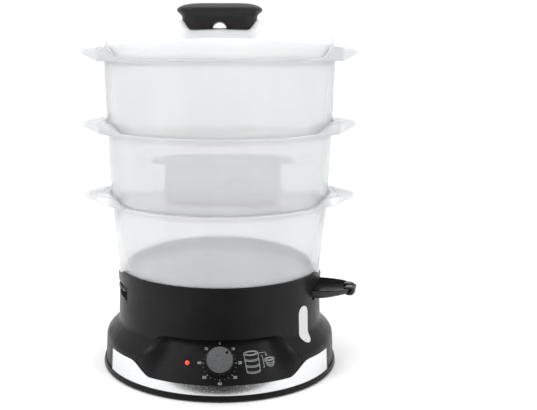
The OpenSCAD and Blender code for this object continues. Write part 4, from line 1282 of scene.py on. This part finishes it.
    def picture(self) -> list[list[Point]]:
        """Draws a small picture: stacked bowls, an arrow, and the bowls put into each other.

        Returns:
            Its lines.
        """
        x = self.bowls_x
        lines = [self.arc((x, 9.0), (8.2, 2.4), 0, 360), self.arc((x, 9.0), (6.4, 1.6), 0, 360)]
        for k, y in enumerate((9.0, 2.8, -3.4)):
            half = 8.2 - 0.4 * k
            lines.append([(x - half, y), (x + 0.4 - half, y - 5.0)])
            lines.append([(x + half, y), (x - 0.4 + half, y - 5.0)])
            lines.append(self.arc((x, y - 5.0), (half - 0.4, 2.3), 180, 360))
            lines.append(self.arc((x, y - 6.2), (half, 2.4), 185, 355))
        lines += [[(43.6, 8.2), (51.6, 8.2), (51.6, 4.6)], [(50.5, 5.8), (51.6, 4.4), (52.7, 5.8)]]
        bracket = [(45.4, 5.6), (46.8, 4.8), (46.8, -0.6), (47.6, -1.4)]
        lines.append(bracket + [(46.8, -2.2), (46.8, -6.6), (45.4, -7.4)])
        x = self.nested_x
        lines += [self.arc((x, 0.6), (5.8, 1.8), 0, 360), self.arc((x, 0.6), (4.2, 1.1), 0, 360)]
        for k in (0.0, 1.8, 3.6):
            lines.append(self.arc((x, -0.2 - k), (5.6 - 0.4 * k, 3.4), 195, 345))
        return lines


# ---------------------------------------------------------------- water fillers


@dataclass
class Filler:
    """A sliding scoop that water is poured into, with its black rim and its nose.

    It is built along X and then turned by az to its side. Its underside is level up to level_run
    from its back, and lifts towards the nose.
    """

    side: int
    body: str
    shift: float
    az: float = 75.3
    back: float = 100.1
    length: float = 57.0
    nose: float = 43.0
    half: float = 27.5
    low: float = 86.0
    height: float = 11.0
    wall: float = 1.8
    lift: float = 4.6
    level_run: float = 12.0
    tip_half: float = 9.0
    curve_turn: float = 78.0
    lumps: tuple[tuple[float, float, float], ...] = ((6.4, -7.6, -0.25), (8.4, 8.4, 0.35))

    @property
    def tip(self) -> float:
        """Returns how far the nose reaches."""
        return self.back + self.length

    def plan(self) -> list[Point]:
        """Draws the scoop's outline, seen from above.

        Returns:
            The outline's points.
        """
        bend = self.tip - self.nose + 4
        narrowing = (self.half - self.tip_half) * 1.2
        turns = [math.radians(self.curve_turn * i / 14) for i in range(15)]
        curve = [
            (bend + (self.nose - 8) * math.sin(a), self.half - narrowing * (1 - math.cos(a)))
            for a in turns
        ]
        curve += [(self.tip - 0.9, 8.4), (self.tip - 0.2, 6.4), (self.tip, 4.0)]
        edge = [(self.back, self.half), (self.back + 8, self.half)] + curve
        return [(x, -y) for x, y in edge] + edge[::-1]

    def level(self, drawn: float, share: float, rise: float = 0.0) -> list[Vector]:
        """Returns the outline drawn in by a distance, at a share of the scoop's height.

        Args:
            drawn: how far the outline is drawn in.
            share: 0 at the underside, which lifts towards the nose, and 1 at the top.
            rise: height added everywhere.

        Returns:
            The outline's points.
        """
        points = []
        lifted = self.length - self.level_run
        for x, y in self.plan():
            along = (x - self.back) / self.length
            inward = x - drawn * (1.6 * along - 0.6) if along > 0.3 else x
            under = self.low + self.lift * ease((x - self.back - self.level_run) / lifted)
            z = under + (self.low + self.height - under) * share + rise
            points.append(Vector((inward, y * (1 - drawn / self.half), z)))
        return points

    def shell(self, levels: Sequence[Sequence[Vector]], closed: bool = False) -> bmesh.types.BMesh:
        """Builds a skin through outlines, each of which follows from the last.

        Args:
            levels: the outlines.
            closed: whether the last outline joins the first one, instead of each having a cap.

        Returns:
            The skin.
        """
        mesh = bmesh.new()
        rings = [[mesh.verts.new(point) for point in level] for level in levels]
        loops = [[mesh.edges.new(pair) for pair in zip(ring, ring[1:] + ring[:1])] for ring in rings]
        pairs = list(zip(loops, loops[1:])) + ([(loops[-1], loops[0])] if closed else [])
        for first, second in pairs:
            bmesh.ops.bridge_loops(mesh, edges=first + second)
        if not closed:
            for loop in (loops[0], loops[-1]):
                bmesh.ops.contextual_create(mesh, geom=loop)
        bmesh.ops.recalc_face_normals(mesh, faces=mesh.faces)
        return mesh

    def put(
        self, name: str, mesh: bmesh.types.BMesh, finisher: Finisher, finish: Finish
    ) -> bpy.types.Object:
        """Turns a mesh to the filler's side, and makes it a piece.

        Args:
            name: the piece's name.
            mesh: its mesh, along X.
            finisher: what dresses it.
            finish: its finish.

        Returns:
            The piece.
        """
        bmesh.ops.translate(mesh, vec=(self.shift, 0.0, 0.0), verts=mesh.verts)
        turn = Matrix.Rotation(math.radians(self.side * self.az - 90), 3, "Z")
        bmesh.ops.rotate(mesh, cent=(0, 0, 0), matrix=turn, verts=mesh.verts)
        return sharpen(finisher.coat(finished_piece(name, mesh, self.body), finish))

    def build(self, finisher: Finisher) -> None:
        """Builds the scoop, its rim and its nose.

        Args:
            finisher: what dresses them.
        """
        label = "right" if self.side > 0 else "left"
        w = self.wall
        scoop = self.put("scoop_" + label, self.shell([
            self.level(7.5, 0.0), self.level(4.6, 0.04), self.level(2.4, 0.16), self.level(1.0, 0.36),
            self.level(0.3, 0.62), self.level(0.0, 0.88), self.level(w, 0.88), self.level(w + 0.4, 0.62),
            self.level(w + 1.2, 0.36), self.level(w + 2.8, 0.2, 0.8), self.level(w + 5.5, 0.1, 1.0),
        ]), finisher, TANK_GREY)
        rim = self.put("scoop_rim_" + label, self.shell([
            self.level(0.0, 0.885), self.level(0.0, 0.97), self.level(0.35, 1.0), self.level(w + 0.1, 1.0),
            self.level(w + 0.4, 0.97), self.level(w + 0.4, 0.885),
        ], closed=True), finisher, GRIP_BLACK)
        nose = self.nose_piece()
        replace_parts(scoop, "filler_" + label)
        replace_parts(rim, "filler_" + label)
        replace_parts(self.put("scoop_nose_" + label, nose, finisher, GRIP_BLACK), "filler_grip_" + label)

    def nose_piece(self) -> bmesh.types.BMesh:
        """Builds the nose: two rounded lumps with a pouring notch between them.

        Each of lumps has how far it stands back from the tip, its place across, and its turn.

        Returns:
            The nose's mesh, along X.
        """
        top = self.low + self.height
        lower = [(-8.0, 6.0, 8.0), (-7.4, 8.6, 10.6), (-6.2, 10.4, 12.4), (-4.2, 11.4, 13.6)]
        upper = [(-1.6, 11.6, 13.8), (0.2, 10.8, 12.8), (1.1, 8.8, 10.6), (1.4, 6.4, 8.0)]
        levels = [(top + rise, width, depth) for rise, width, depth in lower + upper]
        whole = bmesh.new()
        for inset, y, turn in self.lumps:
            lump = stacked(levels, 2.6, 6)
            spun = Matrix.Rotation(turn, 3, "Z")
            bmesh.ops.rotate(lump, cent=(0, 0, 0), matrix=spun, verts=lump.verts)
            bmesh.ops.translate(lump, vec=(self.tip - inset, y, 0.0), verts=lump.verts)
            data = bpy.data.meshes.new("lump")
            lump.to_mesh(data)
            lump.free()
            whole.from_mesh(data)
            bpy.data.meshes.remove(data)
        return whole


# ---------------------------------------------------------------- studio


@dataclass(frozen=True)
class Lamp:
    """A square soft lamp, in metres and watts."""

    name: str
    place: Vector3
    size: float
    watts: float


@dataclass(frozen=True)
class Flag:
    """A card that shades the reflections, in metres.

    It is as bright as dark along its middle, and white from the distance reach to each side.
    """

    name: str
    place: Vector3
    tilt: float
    size: Point
    reach: float
    dark: float = 0.03
    fade: float = 1.8


LAMPS = (
    Lamp("key", (-0.9, -0.9, 1.5), 0.9, 9.0),
    Lamp("fill", (1.1, -0.7, 1.1), 0.9, 4.0),
    Lamp("top", (0.0, 0.2, 1.7), 1.2, 6.0),
)
FLAGS = (
    Flag("low_flag", (0.0, -0.6, 0.002), 0.0, (0.44, 0.892), 0.18),
    Flag("band_flag", (0.0, -0.45, 0.35), math.pi / 2, (1.3, 0.7), 0.6),
)


@dataclass
class Studio:
    """Camera, floor and light, and the cards that the bright metal reflects."""

    distance: float = 0.9317
    height: float = 0.3538
    tilt: float = 79.51
    lens: float = 55.67
    shift: float = 0.0909
    floor_size: float = 60.0
    floor_colour: Colour = (0.965, 0.965, 0.965)
    sky: float = 1.05
    aim: Vector3 = (0.0, 0.0, 0.2)

    def build(self) -> None:
        """Sets up all of it."""
        self.camera()
        self.floor()
        self.light()
        self.flags()

    def camera(self) -> None:
        """Places the camera at the photograph's angle."""
        lens = bpy.data.cameras.new("camera")
        lens.sensor_width = 36.0
        lens.lens = self.lens
        lens.shift_x = self.shift
        eye = bpy.data.objects.new("camera", lens)
        eye.location = (0.0, -self.distance, self.height)
        eye.rotation_euler = (math.radians(self.tilt), 0.0, 0.0)
        bpy.context.scene.collection.objects.link(eye)
        bpy.context.scene.camera = eye

    def floor(self) -> None:
        """Lays the pale floor."""
        mesh = bmesh.new()
        bmesh.ops.create_grid(mesh, x_segments=4, y_segments=4, size=self.floor_size / 2)
        data = bpy.data.meshes.new("floor")
        mesh.to_mesh(data)
        mesh.free()
        floor = bpy.data.objects.new("floor", data)
        bpy.context.scene.collection.objects.link(floor)
        shader = Shader("floor_white")
        shader.set(Base_Color=(*self.floor_colour, 1.0), Roughness=0.55, Specular_IOR_Level=0.2)
        data.materials.append(shader.material)

    def light(self) -> None:
        """Hangs the soft lamps and lights the room."""
        world = bpy.data.worlds.new("studio")
        world.use_nodes = True
        backdrop = world.node_tree.nodes["Background"]
        backdrop.inputs["Color"].default_value = (*WHITE, 1.0)
        backdrop.inputs["Strength"].default_value = self.sky
        world.cycles.sampling_method = "NONE"
        bpy.context.scene.world = world
        bpy.context.scene.view_settings.view_transform = "Standard"
        for lamp_plan in LAMPS:
            lamp = bpy.data.lights.new(lamp_plan.name, "AREA")
            lamp.size = lamp_plan.size
            lamp.energy = lamp_plan.watts
            holder = bpy.data.objects.new(lamp_plan.name, lamp)
            holder.location = lamp_plan.place
            aim = Vector(self.aim) - Vector(lamp_plan.place)
            holder.rotation_euler = aim.to_track_quat("-Z", "Y").to_euler()
            bpy.context.scene.collection.objects.link(holder)

    def flags(self) -> None:
        """Sets up the shaded cards that only the bright metal and the gloss reflect."""
        for flag in FLAGS:
            mesh = bmesh.new()
            bmesh.ops.create_grid(mesh, x_segments=1, y_segments=1, size=0.5)
            bmesh.ops.scale(mesh, vec=(*flag.size, 1.0), verts=mesh.verts)
            data = bpy.data.meshes.new(flag.name)
            mesh.to_mesh(data)
            mesh.free()
            card = bpy.data.objects.new(flag.name, data)
            card.location = flag.place
            card.rotation_euler = (flag.tilt, 0.0, 0.0)
            bpy.context.scene.collection.objects.link(card)
            data.materials.append(self.shade(flag))
            card.visible_camera = False
            card.visible_shadow = False
            card.visible_diffuse = False
            card.visible_transmission = False

    def shade(self, flag: Flag) -> bpy.types.Material:
        """Makes a card's finish, dark along its middle and white towards its sides.

        Args:
            flag: the card.

        Returns:
            The material.
        """
        shader = Shader(flag.name)
        tree = shader.tree
        split = tree.nodes.new("ShaderNodeSeparateXYZ")
        tree.links.new(shader.scaled((1.0, 1.0, 1.0)), split.inputs["Vector"])
        value = split.outputs["X"]
        for operation, factor in (("ABSOLUTE", 0.0), ("DIVIDE", flag.reach), ("POWER", flag.fade)):
            step = tree.nodes.new("ShaderNodeMath")
            step.operation = operation
            step.inputs[1].default_value = factor
            tree.links.new(value, step.inputs[0])
            value = step.outputs["Value"]
        share = shader.spread(value, 0.0, 1.0, 0.0, 1.0)
        grey = shader.mixed(share, self.plain(tree, flag.dark), WHITE)
        shader.link(grey, "Emission Color")
        shader.set(Base_Color=(0.0, 0.0, 0.0, 1.0), Emission_Strength=1.0)
        shader.set(Roughness=1.0, Specular_IOR_Level=0.0)
        return shader.material

    def plain(self, tree: bpy.types.NodeTree, grey: float) -> bpy.types.NodeSocket:
        """Returns a plain grey."""
        node = tree.nodes.new("ShaderNodeRGB")
        node.outputs["Color"].default_value = (grey, grey, grey, 1.0)
        return node.outputs["Color"]


FILLERS = (
    Filler(side=1, body="right_filler", shift=0.0),
    Filler(side=-1, body="left_filler", shift=-41.0),
)

BOWLS = (
    Bowl(
        node="lower_bowl",
        body="first_bowl",
        foot_z=105.1,
        foot_r=114.2,
        step_z=116.0,
        step_r=114.4,
        floor_z=107.5,
        rim_z=192.0,
        seat_r=121.2,
        grip_rise=7.0,
    ),
    Bowl(
        node="middle_bowl",
        body="second_bowl",
        foot_z=185.0,
        foot_r=118.156,
        step_z=192.0,
        step_r=121.5,
        floor_z=190.0,
        rim_z=269.5,
        seat_r=124.0,
        grip_rise=10.0,
    ),
    Bowl(
        node="upper_bowl",
        body="third_bowl",
        foot_z=262.5,
        foot_r=121.368,
        step_z=269.5,
        step_r=124.3,
        floor_z=267.5,
        rim_z=347.0,
        seat_r=126.7,
        grip_rise=11.5,
    ),
)


def main() -> None:
    """Builds the looks in order."""
    logging.basicConfig(level=logging.INFO)
    Studio().build()
    finisher = Finisher()
    finisher.dress_nodes()
    for bowl in BOWLS:
        bowl.build(finisher, BOWL_CLEAR)
    RiceBowl().build(finisher, RICE_CLEAR)
    Lid().build(finisher, LID_CLEAR)
    PanelPrint().build(finisher)
    for filler in FILLERS:
        filler.build(finisher)


if __name__ == "__main__":
    main()
